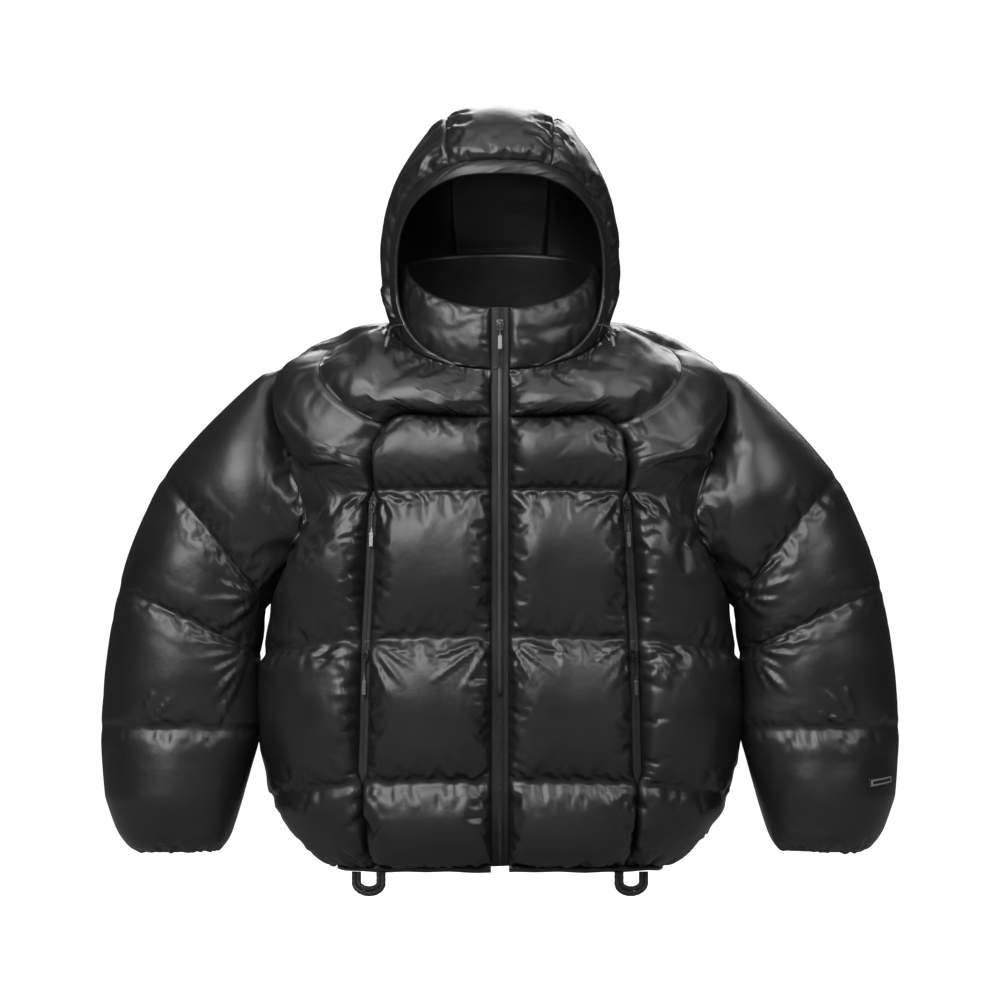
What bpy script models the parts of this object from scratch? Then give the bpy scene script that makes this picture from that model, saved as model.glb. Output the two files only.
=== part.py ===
"""A hooded puffer jacket, filled out as it is worn, upright and hollow, with its front facing -Y and +Z up.

The origin lies between the wearer's shoulders, level with the neck points, where the wearer holds the jacket up.
Left and right are the wearer's: left is +X. Every cloth piece is a wall with a plain inside. Its outside is raised
by the filling between the quilting lines and pressed thin at the seams. The tables and sizes below are in
millimetres, and the left half is worked out first: the right half mirrors it.
"""

import math

import bmesh
import bpy
import numpy as np
from mathutils import Euler, Matrix, Vector

NAME = "puffer_jacket"
MM = 0.001

# Cloth
SEAM_GAP = 0.3  # between two pieces that are sewn together
SEAM_WALL = 3.0  # thickness of the wall at a seam
QUILT_WALL = 8.0  # thickness of the wall under a quilting line
LOFT = 22.0  # how far the filling raises the wall between two quilting lines
STRIP_WALL = 8.0  # thickness of the wall at the seams of the hood's centre strip
HOOD_LOFT = 5.0  # how far the light filling of the hood raises the wall beyond that
COLLAR_LOFT = 6.0
SEAM_RISE = 36.0  # from a seam inwards, the stretch over which the wall reaches its full thickness
VALLEY_RISE = 62.0  # the same beside a seam where two pieces meet at a hollow angle
UNDERARM_RISE = 95.0  # and round the underarm, where the sleeve folds against the body
SHOULDER_WALL = 23.0  # thickness at the armhole's top, where two full baffles press together

# Body: one row for each ring from the neck seam to the hem, on the plain inside
RING_DIP = 1.1  # how squarely a ring falls from its sides to its front and back
BODY_RINGS = (
    # side z, front z, back z, half width, front depth, back depth, squareness, x of the panel seam
    (0, -58, 12, 131, 104, 95, 2.2, 158),  # neck seam
    (-34, -87, -26, 190, 112, 104, 2.4, 158),
    (-58, -115, -62, 250, 118, 112, 2.6, 158),  # shoulder ends, and the top of the centre fronts
    (-138, -160, -138, 262, 122, 117, 2.8, 156),
    (-219, -205, -215, 267, 126, 121, 2.8, 155),  # first quilting line
    (-282, -265, -280, 269, 129, 124, 2.8, 158),
    (-345, -325, -340, 270, 131, 126, 2.8, 161),  # underarms
    (-410, -386, -400, 271, 133, 128, 2.8, 164),  # second quilting line
    (-494, -474, -486, 270, 134, 129, 2.8, 166),
    (-580, -562, -574, 259, 132, 127, 2.8, 168),  # third quilting line
    (-622, -612, -618, 238, 126, 121, 2.7, 164),
    (-650, -646, -648, 214, 114, 110, 2.6, 158),
    (-663, -663, -663, 197, 102, 98, 2.5, 151),  # hem seam
)
NECK, ARMHOLE_TOP, FIRST_LINE, UNDERARM, SECOND_LINE, THIRD_LINE, HEM = 0, 2, 4, 6, 7, 9, 12
ARMHOLE_DEPTH = 80.0  # half of the armhole's width as seen from the side
ARMHOLE_POINT = 1.35  # 1 for an even oval, more for one that is pointed above and blunt below
ARMHOLE_STEPS = (0, 0.06, 0.14, 0.24, 0.36, 0.525, 0.66, 0.79, 0.9, 1)  # shares of the way down the armhole
ARMHOLE_ROWS = np.arange(2, 2 + len(ARMHOLE_STEPS))  # rows of the side front that end at the armhole
HEM_CASING_HEIGHT = 12.0
CORNER_RADIUS = 56.0  # rounded upper corner of each centre front
CORNER_STEPS = 4
DIAGONAL_STEP = 2  # the yoke's lower seam leaves the rounded corner at this step of its arc
SHOULDER_MEET = 1.3  # where that seam reaches the shoulder seam, between the neck seam (0) and its end (2)
NECK_TURNS = (22, 42, 60, 75, 90)  # degrees round the front of the neck seam
BACK_TURNS = (0, 18, 36, 54, 70.6, 80, 90)  # degrees from the side round to the centre back
STRIP_TURN = 4  # the hood's centre strip starts at this one of the back turns

# Sleeve: rings from the armhole to the cuff, by their outer and inner edges as seen from the front
SLEEVE_RINGS = (
    # outer x, outer z, inner x, inner z, half depth, y of the middle
    (331, -135, 279, -342, 76, 0),
    (393, -205, 290, -350, 70, 0),  # first quilting line
    (427, -280, 302, -384, 67, -2),
    (444, -333, 308, -406, 65, -5),  # second quilting line
    (457, -410, 309, -450, 63, -9),
    (465, -498, 307, -498, 62, -13),  # third quilting line
    (462, -552, 322, -552, 60, -16),
    (457, -601, 334, -601, 56, -18),
    (450, -634, 343, -634, 50, -19),
    (440, -648, 352, -648, 43, -19),  # cuff edge
)
SLEEVE_LINES = (0, 2, 4, 6, 10)
INNER_LOFT = 0.35  # the share of the filling on the side of the sleeve that faces the body
SLEEVE_CREASE = 0.8  # how deep the quilting pulls in the sleeve's front and back

# Hood: half sizes of its plain inside from a centre inside the head space, and the face opening
HOOD_CENTRE_Z = 78.0
HOOD_HALF_WIDTH = 135.5
HOOD_FRONT = 135.0
HOOD_BACK = 130.0
HOOD_UP = 187.0
HOOD_DOWN = 300.0
HOOD_SQUARENESS = 2.1
NECK_PULL_SIDE = (0.005, 78)  # towards the neck seam: drawn in by this share at this depth below the centre
NECK_PULL_FRONT = (0.148, 136)
NECK_PULL_BACK = (0.254, 66)
FACE_Z = 62.0
FACE_HALF_WIDTH = 126.0
FACE_UP = 121.0
FACE_DOWN = 113.0
FACE_SQUARENESS = 2.6
RIM_WIDTH = 17.0  # casing round the face opening
RIM_SIDE_WIDTH = 7.5  # the same, as the front view foreshortens it at the sides
RIM_WALLS = (5.5, 4.0)  # thickness along its middle and at its free edge
STRIP_HALF_WIDTH = 61.0  # the centre strip at the rim
STRIP_FLATNESS = 0.042  # how far the strip's middle lies below the hood's round, as a share
HOOD_ROWS = 7
SIDE_CORNER = 3  # the hood side's front corner is at this one of the neck turns
RIM_END = 1  # and the rim casing ends at this one
RIM_TURNS = (130, 142)  # degrees round the face opening at the neck turns between them
STRIP_CORNER_TURN = 150.0  # degrees up and over from the front to the strip's corner behind the crown

# Collar: rings on its plain inside
COLLAR_RINGS = (
    # side z, front z, back z, half width, front depth, back depth, squareness, not used
    (3, -55, 15, 126, 99, 90, 2.2, 0),
    (28, -30, 40, 121, 97, 85, 2.2, 0),
    (52, -4, 66, 117, 94, 80, 2.2, 0),
    (74, 20, 92, 114, 90, 76, 2.2, 0),
)

# Zips
ZIP_HALF = 11.0  # half of the gap between the fronts that the zip fills
TAPE_WALL = 1.5
CHAIN_WALL = 2.6
CHAIN_HALF = 3.4
POCKET_GAP_HALF = 5.8
POCKET_END_HALF = 0.9
MAIN_SLIDER_Z = -2.0
POCKET_SLIDER_PLACES = (4.32, 7.22)
MAIN_PULL = 32.0
POCKET_PULL = 50.0
PULL_LEAN = math.radians(4)  # a pull hangs this far off its tape
SLIDER_WIDTH, SLIDER_HEIGHT, SLIDER_DEPTH = 9.0, 13.0, 2.6
BRIDGE_WIDTH, BRIDGE_HEIGHT, BRIDGE_DEPTH = 2.4, 9.0, 3.6
SLOT_HEIGHT, SLOT_DEPTH = 5.6, 2.2
BAR = 1.3  # the pull's cross bar, inside the bridge's slot

# Patch on the left cuff: row of the sleeve, columns from its outer edge and shares of the row's height
PATCH_ROW = 17
PATCH_COLUMNS = (1.05, 1.5, 2, 2.45)
PATCH_ROWS = (0.66, 0.86)
PATCH_SLANT = 0.12
PATCH_LIFT = 1.1
PATCH_WALL = 0.8

# Cords
HEM_CORD = 6.4
HEM_CORD_X = 161.0
HEM_CORD_HALVES = {"outer": 21.5, "inner": 14.8}
HEM_CORD_DROP = {"outer": 27.0, "inner": 20.3}
HOOD_CORD = 3.2
HOOD_CORD_ROUTE = (
    # x, y, z of the left cord, from the rim casing to its tip
    (120.3, -61.8, -1.3),
    (125, -65.5, -1.6),
    (130.5, -70.5, -2.5),
    (135.5, -77.5, -7),
    (138, -83, -16),
)
TIP_LENGTH = 15.0
TIP_WIDTHS = (5.6, 4.4)

# Colours

BLACK_NYLON = (0.018, 0.018, 0.02, 1)
ZIP_BLACK = (0.012, 0.012, 0.013, 1)
DARK_METAL = (0.09, 0.09, 0.095, 1)


def unit(vectors):
    return vectors / np.linalg.norm(vectors, axis=-1, keepdims=True)


def even_baffle(steps):
    """Shares of a baffle's height that lie closer together at its two quilting lines."""
    return (1 - np.cos(np.pi * np.arange(steps + 1) / steps)) / 2


def along_rows(rows, place):
    """A smooth curve through a table's rows, read at places that count the rows from 0."""
    rows = np.asarray(rows, float)
    place = np.clip(np.asarray(place, float), 0, len(rows) - 1)
    low = np.minimum(place.astype(int), len(rows) - 2)
    part = (place - low).reshape(place.shape + (1,) * (rows.ndim - 1))
    before, start, end, after = (rows[np.clip(low + step, 0, len(rows) - 1)] for step in (-1, 0, 1, 2))
    leaving, arriving = (end - before) / 2, (after - start) / 2
    rest = 1 - part
    return (
        start * (1 + 2 * part) * rest**2
        + leaving * part * rest**2
        + end * part**2 * (1 + 2 * rest)
        - arriving * part**2 * rest
    )


# ---------------------------------------------------------------- the body's form


def ring_point(rings, turn, place):
    """A point of a ring: turn goes from the front centre (0) over the left side (pi / 2) to the back centre (pi)."""
    side_z, front_z, back_z, half_width, front, back, square, _ = np.moveaxis(along_rows(rings, place), -1, 0)
    ahead, aside = np.cos(turn), np.sin(turn)
    depth = np.where(ahead > 0, front, back)
    end_z = np.where(ahead > 0, front_z, back_z)
    return np.stack(
        [
            half_width * np.sign(aside) * np.abs(aside) ** (2 / square),
            -depth * np.sign(ahead) * np.abs(ahead) ** (2 / square),
            side_z + (end_z - side_z) * np.abs(ahead) ** RING_DIP,
        ],
        -1,
    )


def ring_outward(rings, turn, place):
    """The outward direction square to the form at the same point."""
    step = 0.01
    across = ring_point(rings, turn + step, place) - ring_point(rings, turn - step, place)
    down = ring_point(rings, turn, place + step) - ring_point(rings, turn, place - step)
    return unit(np.cross(down, across))


def turn_at(x, place):
    """The turn at which a ring of the body reaches a given x on its front."""
    half_width, square = along_rows(BODY_RINGS, place)[..., 3], along_rows(BODY_RINGS, place)[..., 6]
    return np.arcsin(np.clip(x / half_width, 0, 1) ** (square / 2))


def armhole_line(behind=False):
    """Turns and places down the armhole, which is a pointed oval as seen from the side."""
    down = np.array(ARMHOLE_STEPS)
    places = ARMHOLE_TOP + (UNDERARM - ARMHOLE_TOP) * down
    ring = along_rows(BODY_RINGS, places)
    depth, square = ring[:, 5 if behind else 4], ring[:, 6]
    half = ARMHOLE_DEPTH * np.abs(np.sin(np.pi * down**ARMHOLE_POINT))
    ahead = np.arccos((half / depth) ** (square / 2))
    return (math.pi - ahead if behind else ahead), places


def armhole_wall():
    """Thickness of the wall down the armhole's edge."""
    return SEAM_WALL + (SHOULDER_WALL - SEAM_WALL) * (1 - np.array(ARMHOLE_STEPS)) ** 3


def armhole_reach():
    """How far the wall's fall beside the armhole reaches: short at the shoulder, long at the underarm."""
    return SEAM_RISE + (VALLEY_RISE - SEAM_RISE) * np.array(ARMHOLE_STEPS) ** 0.7


def round_armhole(down):
    """A value down the armhole's front, carried on up its back."""
    return np.concatenate([down, down[1:-1][::-1]])


def shoulder_wall(places):
    """Thickness of the wall on the shoulder seam, from the neck seam to the armhole's top."""
    return SEAM_WALL + (SHOULDER_WALL - SEAM_WALL) * np.clip(np.asarray(places) / ARMHOLE_TOP, 0, 1) ** 0.8


def diagonal_wall(share):
    """Thickness on the seam between yoke and side front, from the centre front (0) to the shoulder seam (1)."""
    return SEAM_WALL + (shoulder_wall(SHOULDER_MEET) - SEAM_WALL) * rise(share, 0.5)


def neck_edge(turn):
    """The direction of the wall's edge at the neck seam, which halves the corner between body and hood."""
    aside, ahead = np.sin(turn), np.cos(turn)
    up = 0.6 * aside**4 + np.where(ahead > 0, 0.15, 0.17) * ahead
    return unit(np.stack([aside, -ahead, up], -1))


def body_wall(turn, place):
    """Inside points and outward directions of the body, with the shared edge at the neck seam."""
    turn, place = np.broadcast_arrays(np.asarray(turn, float), np.asarray(place, float))
    outward = ring_outward(BODY_RINGS, turn, place)
    outward = np.where((place == NECK)[..., None], neck_edge(turn), outward)
    return ring_point(BODY_RINGS, turn, place), outward


def pocket_gap(place):
    """Half of the gap that a pocket zip fills in the seam beside the centre front."""
    in_zip = (place > FIRST_LINE + 0.01) & (place < THIRD_LINE - 0.01)
    at_end = (np.abs(place - FIRST_LINE) <= 0.01) | (np.abs(place - THIRD_LINE) <= 0.01)
    return np.where(in_zip, POCKET_GAP_HALF, np.where(at_end, POCKET_END_HALF, 0.0))


def front_lines():
    """Places of the rows below the rounded corner, a baffle at a time: (top, bottom, steps)."""
    return ((FIRST_LINE, SECOND_LINE, 6), (SECOND_LINE, THIRD_LINE, 5), (THIRD_LINE, HEM, 5))


def lower_places():
    return np.concatenate([top + (end - top) * even_baffle(steps)[1:] for top, end, steps in front_lines()])


# ---------------------------------------------------------------- thickness


def rise(distance, reach=SEAM_RISE):
    """0 at a seam and 1 from the reach inwards, steep beside the seam."""
    near = np.clip(distance / reach, 0, 1)
    return np.sqrt(1 - (1 - near) ** 2)


def valley(distance, reach=VALLEY_RISE):
    """0 at a seam and 1 from the reach inwards, gentle beside the seam."""
    near = np.clip(distance / reach, 0, 1)
    return near**1.4 * (2.4 - 1.4 * near)


def eased(outward, edge, distance):
    """Outward directions that turn gradually from those of a seam's edge to the form's own."""
    near = np.clip(1 - distance / VALLEY_RISE, 0, 1)[..., None]
    return unit(outward + (edge - outward) * near)


def from_underarm(points):
    """0 at the left underarm and 1 away from it."""
    underarm = ring_point(BODY_RINGS, np.float64(math.pi / 2), np.float64(UNDERARM))
    return valley(np.linalg.norm(points - underarm, axis=-1), UNDERARM_RISE)


def seam_distance(points, axis, end):
    """How far each point of a grid is from the first (0) or last (-1) line of that axis, along the grid."""
    steps = np.linalg.norm(np.diff(points, axis=axis), axis=-1)
    if end:
        steps = np.flip(steps, axis)
    total = np.concatenate([np.zeros_like(np.take(steps, [0], axis)), np.cumsum(steps, axis)], axis)
    return np.flip(total, axis) if end else total


def bulge(steps_per_baffle):
    """The height of the filling along the rows, 0 at each quilting line and 1 halfway."""
    rows = [np.sin(np.pi * even_baffle(steps)) ** 0.7 for steps in steps_per_baffle]
    return np.concatenate([rows[0]] + [row[1:] for row in rows[1:]])


def filling(baffles, crease):
    """Thickness of the filling on rows that cross the baffles. crease says how deep the quilting pulls it in."""
    return (QUILT_WALL - SEAM_WALL) + LOFT * (1 - crease * (1 - bulge(baffles)[:, None]))


def side_crease(turn):
    """The quilting lines pull less deeply round the body's sides, where the cloth is tight."""
    return 1 - 0.75 * np.abs(np.sin(turn)) ** 10


# ---------------------------------------------------------------- meshes


def material(name, colour, roughness, metallic=0.0):
    made = bpy.data.materials.new(name)
    made.use_nodes = True
    shader = made.node_tree.nodes["Principled BSDF"]
    shader.inputs["Base Color"].default_value = colour
    shader.inputs["Roughness"].default_value = roughness
    shader.inputs["Metallic"].default_value = metallic
    return made


def clear_scene():
    for thing in list(bpy.data.objects):
        bpy.data.objects.remove(thing, do_unlink=True)


def collection(name, hidden=False):
    made = bpy.data.collections.new(name)
    bpy.context.scene.collection.children.link(made)
    made.hide_render = hidden
    return made


def put(name, mesh, finish, sharp=50):
    """Makes a mesh a named object of the jacket."""
    mesh.name = name
    mesh.materials.clear()
    mesh.materials.append(finish)
    mesh.shade_smooth()
    mesh.set_sharp_from_angle(angle=math.radians(sharp))
    thing = bpy.data.objects.new(name, mesh)
    bpy.data.collections[NAME].objects.link(thing)
    return thing


def trimmed(inside, outward, closed):
    """The grid with its border moved half a seam gap into the piece."""
    moved = inside.copy()

    def into(edge, inner, out, ring):
        along = np.roll(edge, -1, 0) - np.roll(edge, 1, 0) if ring else np.gradient(edge, axis=0)
        side = unit(np.cross(along, out))
        return side * np.sign(((inner - edge) * side).sum()) * SEAM_GAP / 2

    moved[0] += into(inside[0], inside[1], outward[0], closed)
    moved[-1] += into(inside[-1], inside[-2], outward[-1], closed)
    if not closed:
        moved[:, 0] += into(inside[:, 0], inside[:, 1], outward[:, 0], False)
        moved[:, -1] += into(inside[:, -1], inside[:, -2], outward[:, -1], False)
    return moved


def wall(name, inside, outward, thickness, finish, closed=False):
    """A closed wall between a plain inside grid and the same grid raised by its thickness."""
    rows, columns = inside.shape[:2]
    inside = trimmed(inside, outward, closed)
    outside = inside + outward * thickness[..., None]
    skin = rows * columns
    index = np.arange(skin).reshape(rows, columns)
    if closed:
        index = np.concatenate([index, index[:, :1]], 1)
    quads = np.stack([index[:-1, :-1], index[1:, :-1], index[1:, 1:], index[:-1, 1:]], -1).reshape(-1, 4)
    borders = [index[0], index[-1]] if closed else [index[0], index[-1], index[:, 0], index[:, -1]]
    edge_quads = [
        (first, second, second + skin, first + skin)
        for border in borders
        for first, second in zip(border[:-1], border[1:])
    ]
    shape = bmesh.new()
    places = np.concatenate([inside.reshape(-1, 3), outside.reshape(-1, 3)])
    corners = [shape.verts.new(place * MM) for place in places]
    for quad in [*quads, *(quads + skin), *edge_quads]:
        shape.faces.new([corners[int(number)] for number in quad])
    bmesh.ops.recalc_face_normals(shape, faces=shape.faces)
    bmesh.ops.triangulate(shape, faces=shape.faces, quad_method="SHORT_EDGE")
    mesh = bpy.data.meshes.new(name)
    shape.to_mesh(mesh)
    shape.free()
    return put(name, mesh, finish)


def both_sides(stem, inside, outward, thickness, finish, closed=False):
    """The left piece and its mirror image on the right."""
    mirror = np.array([-1, 1, 1])
    wall(f"{stem}_left", inside, outward, thickness, finish, closed)
    wall(f"{stem}_right", inside * mirror, outward * mirror, thickness, finish, closed)


# ---------------------------------------------------------------- fronts and back


def corner_shares():
    """Columns of the centre front, as shares of its width: flat steps, then equal steps round the corner."""
    straight = 1 - CORNER_RADIUS / (BODY_RINGS[ARMHOLE_TOP][7] - ZIP_HALF)
    angles = np.linspace(0, math.pi / 2, CORNER_STEPS + 1)
    flat = np.linspace(0, straight, len(NECK_TURNS) + 1)[:-1]
    shares = np.concatenate([flat, straight + (1 - straight) * np.sin(angles)])
    drops = np.concatenate([np.zeros(len(flat)), CORNER_RADIUS * (1 - np.cos(angles))])
    return shares, drops


def centre_front_places():
    """The place of each row at each column of the centre front: rows x columns."""
    _, drops = corner_shares()
    height = BODY_RINGS[ARMHOLE_TOP][1] - BODY_RINGS[FIRST_LINE][1]
    tops = ARMHOLE_TOP + drops * (FIRST_LINE - ARMHOLE_TOP) / height
    first = tops + (FIRST_LINE - tops) * even_baffle(5)[:, None]
    lower = np.repeat(lower_places()[:, None], len(drops), 1)
    return np.concatenate([first, lower])


def centre_front():
    places = centre_front_places()
    shares, _ = corner_shares()
    edge_x = along_rows(BODY_RINGS, places)[..., 7] - pocket_gap(places)
    turns = turn_at(ZIP_HALF + shares * (edge_x - ZIP_HALF), places)
    inside, outward = body_wall(turns, places)
    fullness = rise(seam_distance(inside, 1, 0)) * rise(seam_distance(inside, 1, -1))
    fullness = fullness * rise(seam_distance(inside, 0, 0)) * rise(seam_distance(inside, 0, -1))
    thickness = SEAM_WALL + fullness * filling((5, 6, 5, 5), 1.0)
    both_sides("front_centre", inside, outward, thickness, CLOTH)


def panel_seam(start):
    """Turns and places of the seam outside the centre front, from a column of its top edge down to the hem."""
    places = centre_front_places()
    shares, _ = corner_shares()
    top_places = places[0, start:]
    top_x = ZIP_HALF + shares[start:] * (BODY_RINGS[ARMHOLE_TOP][7] - ZIP_HALF)
    top_x[-1] = along_rows(BODY_RINGS, top_places[-1])[7]
    side_places = places[1:, -1]
    side_x = along_rows(BODY_RINGS, side_places)[:, 7] + pocket_gap(side_places)
    seam_places = np.concatenate([top_places, side_places])
    return turn_at(np.concatenate([top_x, side_x]), seam_places), seam_places


def diagonal_column():
    return len(NECK_TURNS) + DIAGONAL_STEP


def neck_turns():
    """Turns of the front neck seam from the zip to the side."""
    return np.concatenate([[float(turn_at(ZIP_HALF, np.float64(NECK)))], np.radians(NECK_TURNS)])


def yoke():
    places = centre_front_places()
    shares, _ = corner_shares()
    last = diagonal_column()
    low_places = places[0, : last + 1]
    low_turns = turn_at(ZIP_HALF + shares[: last + 1] * (BODY_RINGS[ARMHOLE_TOP][7] - ZIP_HALF), low_places)
    side = math.pi / 2
    high_turns = np.concatenate([neck_turns(), [side] * DIAGONAL_STEP])
    shoulder = np.linspace(0, SHOULDER_MEET, DIAGONAL_STEP + 1)[1:]
    high_places = np.concatenate([np.zeros(len(NECK_TURNS) + 1), shoulder])
    share = even_baffle(5)[:, None]
    turns = high_turns + (low_turns - high_turns) * share
    row_places = high_places + (low_places - high_places) * share
    inside, outward = body_wall(turns, row_places)
    fullness = rise(seam_distance(inside, 1, 0)) * rise(seam_distance(inside, 1, -1))
    fullness = fullness * valley(seam_distance(inside, 0, 0)) * rise(seam_distance(inside, 0, -1))
    thickness = SEAM_WALL + fullness * filling((5,), 0.4)
    thickness = raised(thickness, shoulder_wall(high_places)[None], seam_distance(inside, 0, 0))
    thickness = raised(thickness, diagonal_wall(1 - share), seam_distance(inside, 1, -1))
    thickness[-1] = SEAM_WALL
    both_sides("yoke", inside, outward, thickness, CLOTH)


def side_edge(inner_places):
    """Turns and places of the side front's outer edge: shoulder seam, armhole, side seam."""
    lead = np.array([SHOULDER_MEET, (SHOULDER_MEET + ARMHOLE_TOP) / 2])
    turns, armhole = armhole_line()
    below = inner_places[len(lead) + len(armhole) :]
    below = np.where(below < SECOND_LINE - 0.01, SECOND_LINE - 0.3, below)
    side = math.pi / 2
    turns = np.concatenate([[side] * len(lead), turns, [side] * len(below)])
    return turns, np.concatenate([lead, armhole, below])


def side_front():
    start = diagonal_column()
    inner_turns, inner_places = panel_seam(start)
    outer_turns, outer_places = side_edge(inner_places)
    share = even_baffle(5)
    turns = inner_turns[:, None] + (outer_turns - inner_turns)[:, None] * share
    places = inner_places[:, None] + (outer_places - inner_places)[:, None] * share
    inside, outward = body_wall(turns, places)
    to_side = seam_distance(inside, 1, -1)
    edge_ways = armhole_edge()[: len(ARMHOLE_STEPS), None]
    outward[ARMHOLE_ROWS] = eased(outward[ARMHOLE_ROWS], edge_ways, to_side[ARMHOLE_ROWS])
    from_side = rise(to_side)
    from_side[ARMHOLE_ROWS] = valley(to_side[ARMHOLE_ROWS], armhole_reach()[:, None])
    fullness = from_side * rise(seam_distance(inside, 1, 0)) * from_underarm(inside)
    fullness = fullness * rise(seam_distance(inside, 0, 0)) * rise(seam_distance(inside, 0, -1))
    corner_steps = CORNER_STEPS - DIAGONAL_STEP
    thickness = SEAM_WALL + fullness * filling((corner_steps + 5, 6, 5, 5), side_crease(turns))
    edge = side_edge_wall(outer_places[: ARMHOLE_ROWS[0]], len(places))
    thickness = raised(thickness, edge, to_side)
    thickness = raised(thickness, diagonal_wall(share)[None], seam_distance(inside, 0, 0))
    thickness[:, 0] = SEAM_WALL
    both_sides("front_side", inside, outward, thickness, CLOTH)


def raised(thickness, edge, distance):
    """Thickens the wall beside an edge towards the thickness of the edge itself."""
    near = np.clip(1 - distance / VALLEY_RISE, 0, 1)
    return np.maximum(thickness, SEAM_WALL + (edge - SEAM_WALL) * near)


def side_edge_wall(shoulder_places, count):
    """Thickness down a panel's side edge: the shoulder seam, the armhole, then the side seam."""
    edge = np.concatenate([shoulder_wall(shoulder_places), armhole_wall()])
    return np.concatenate([edge, np.full(count - len(edge), SEAM_WALL)])[:, None]


def back_rows():
    """Places of the back's rows, and the turn of its left edge at each."""
    shoulder = np.array([0, SHOULDER_MEET / 2, SHOULDER_MEET, (SHOULDER_MEET + ARMHOLE_TOP) / 2])
    turns, armhole = armhole_line(behind=True)
    below = lower_places()[4:]
    below[0] = SECOND_LINE - 0.3
    side = math.pi / 2
    edge = np.concatenate([[side] * len(shoulder), turns, [side] * len(below)])
    return np.concatenate([shoulder, armhole, below]), edge


def back():
    places, edge = back_rows()
    share = np.array(BACK_TURNS) / 90
    half = edge[:, None] + (math.pi - edge)[:, None] * share
    turns = np.concatenate([half, 2 * math.pi - half[:, -2::-1]], 1)
    inside, outward = body_wall(turns, np.repeat(places[:, None], turns.shape[1], 1))
    rows = ARMHOLE_ROWS + 2
    edge_ways = armhole_edge()
    behind = np.concatenate([edge_ways[:1], edge_ways[: len(rows) - 1 : -1], edge_ways[len(rows) - 1 : len(rows)]])
    to_left, to_right = seam_distance(inside, 1, 0), seam_distance(inside, 1, -1)
    outward[rows] = eased(outward[rows], behind[:, None], to_left[rows])
    outward[rows] = eased(outward[rows], (behind * np.array([-1, 1, 1]))[:, None], to_right[rows])
    from_left, from_right = rise(to_left), rise(to_right)
    reach = armhole_reach()[:, None]
    from_left[rows], from_right[rows] = valley(to_left[rows], reach), valley(to_right[rows], reach)
    fullness = from_left * from_right * valley(seam_distance(inside, 0, 0)) * rise(seam_distance(inside, 0, -1))
    mirrored = inside * np.array([-1, 1, 1])
    fullness = fullness * from_underarm(inside) * from_underarm(mirrored)
    thickness = SEAM_WALL + fullness * filling((4, 5, 6, 5, 5), side_crease(turns))
    side_wall = side_edge_wall(places[: rows[0]], len(places))
    thickness = raised(raised(thickness, side_wall, to_left), side_wall, to_right)
    wall("back", inside, outward, thickness, CLOTH)


# ---------------------------------------------------------------- sleeves


def armhole_loop():
    """The armhole on the plain inside: down its front from the top to the underarm, then up its back."""
    front, behind = armhole_line(), armhole_line(behind=True)
    points = [ring_point(BODY_RINGS, *front), ring_point(BODY_RINGS, *behind)[1:-1][::-1]]
    outward = [ring_outward(BODY_RINGS, *front), ring_outward(BODY_RINGS, *behind)[1:-1][::-1]]
    return np.concatenate(points), np.concatenate(outward)


def sleeve_places():
    """Places of the sleeve's rows, counting its rings from the armhole (0)."""
    steps = (6, 5, 5, 5)
    spans = zip(SLEEVE_LINES, SLEEVE_LINES[1:], steps)
    rows = [low + (high - low) * even_baffle(count) for low, high, count in spans]
    return np.concatenate([rows[0]] + [row[1:] for row in rows[1:]]), steps


def sleeve_rings():
    """The armhole loop and each ring of the table, with the same count of points."""
    loop, _ = armhole_loop()
    angle = np.linspace(0, 2 * math.pi, len(loop), endpoint=False)
    rings = [loop]
    for outer_x, outer_z, inner_x, inner_z, half_depth, middle_y in SLEEVE_RINGS:
        middle = np.array([(outer_x + inner_x) / 2, middle_y, (outer_z + inner_z) / 2])
        out = np.array([(outer_x - inner_x) / 2, 0, (outer_z - inner_z) / 2])
        rings.append(middle + np.cos(angle)[:, None] * out - np.sin(angle)[:, None] * np.array([0, half_depth, 0]))
    return np.array(rings)


def ring_normals(points):
    """Outward directions of a closed grid whose columns go round it."""
    around = np.roll(points, -1, 1) - np.roll(points, 1, 1)
    along = np.gradient(points, axis=0)
    outward = unit(np.cross(around, along))
    return outward * np.sign(((points - points.mean(1, keepdims=True)) * outward).sum(-1).mean())


def sleeve_points():
    places, _ = sleeve_places()
    return along_rows(sleeve_rings(), places)


def armhole_edge():
    """The direction of the wall's edge round the armhole, which halves the corner between body and sleeve."""
    _, body_out = armhole_loop()
    return unit(body_out + ring_normals(sleeve_points())[0])


def sleeve_wall():
    """The left sleeve's plain inside, its outward directions and its wall's thickness."""
    points = sleeve_points()
    outward = eased(ring_normals(points), armhole_edge(), seam_distance(points, 0, 0))
    _, steps = sleeve_places()
    angle = np.linspace(0, 2 * math.pi, points.shape[1], endpoint=False)
    facing_body = ((1 - np.cos(angle)) / 2) ** 1.5
    side_share = 1 - (1 - INNER_LOFT) * facing_body
    crease = SLEEVE_CREASE * (0.12 + 0.88 * np.sin(angle) ** 2)
    from_armhole = seam_distance(points, 0, 0)
    fullness = valley(from_armhole, round_armhole(armhole_reach())) * rise(seam_distance(points, 0, -1))
    thickness = SEAM_WALL + fullness * from_underarm(points) * filling(steps, crease) * side_share
    return points, outward, raised(thickness, round_armhole(armhole_wall()), from_armhole)


def sleeve():
    both_sides("sleeve", *sleeve_wall(), CLOTH, closed=True)


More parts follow.
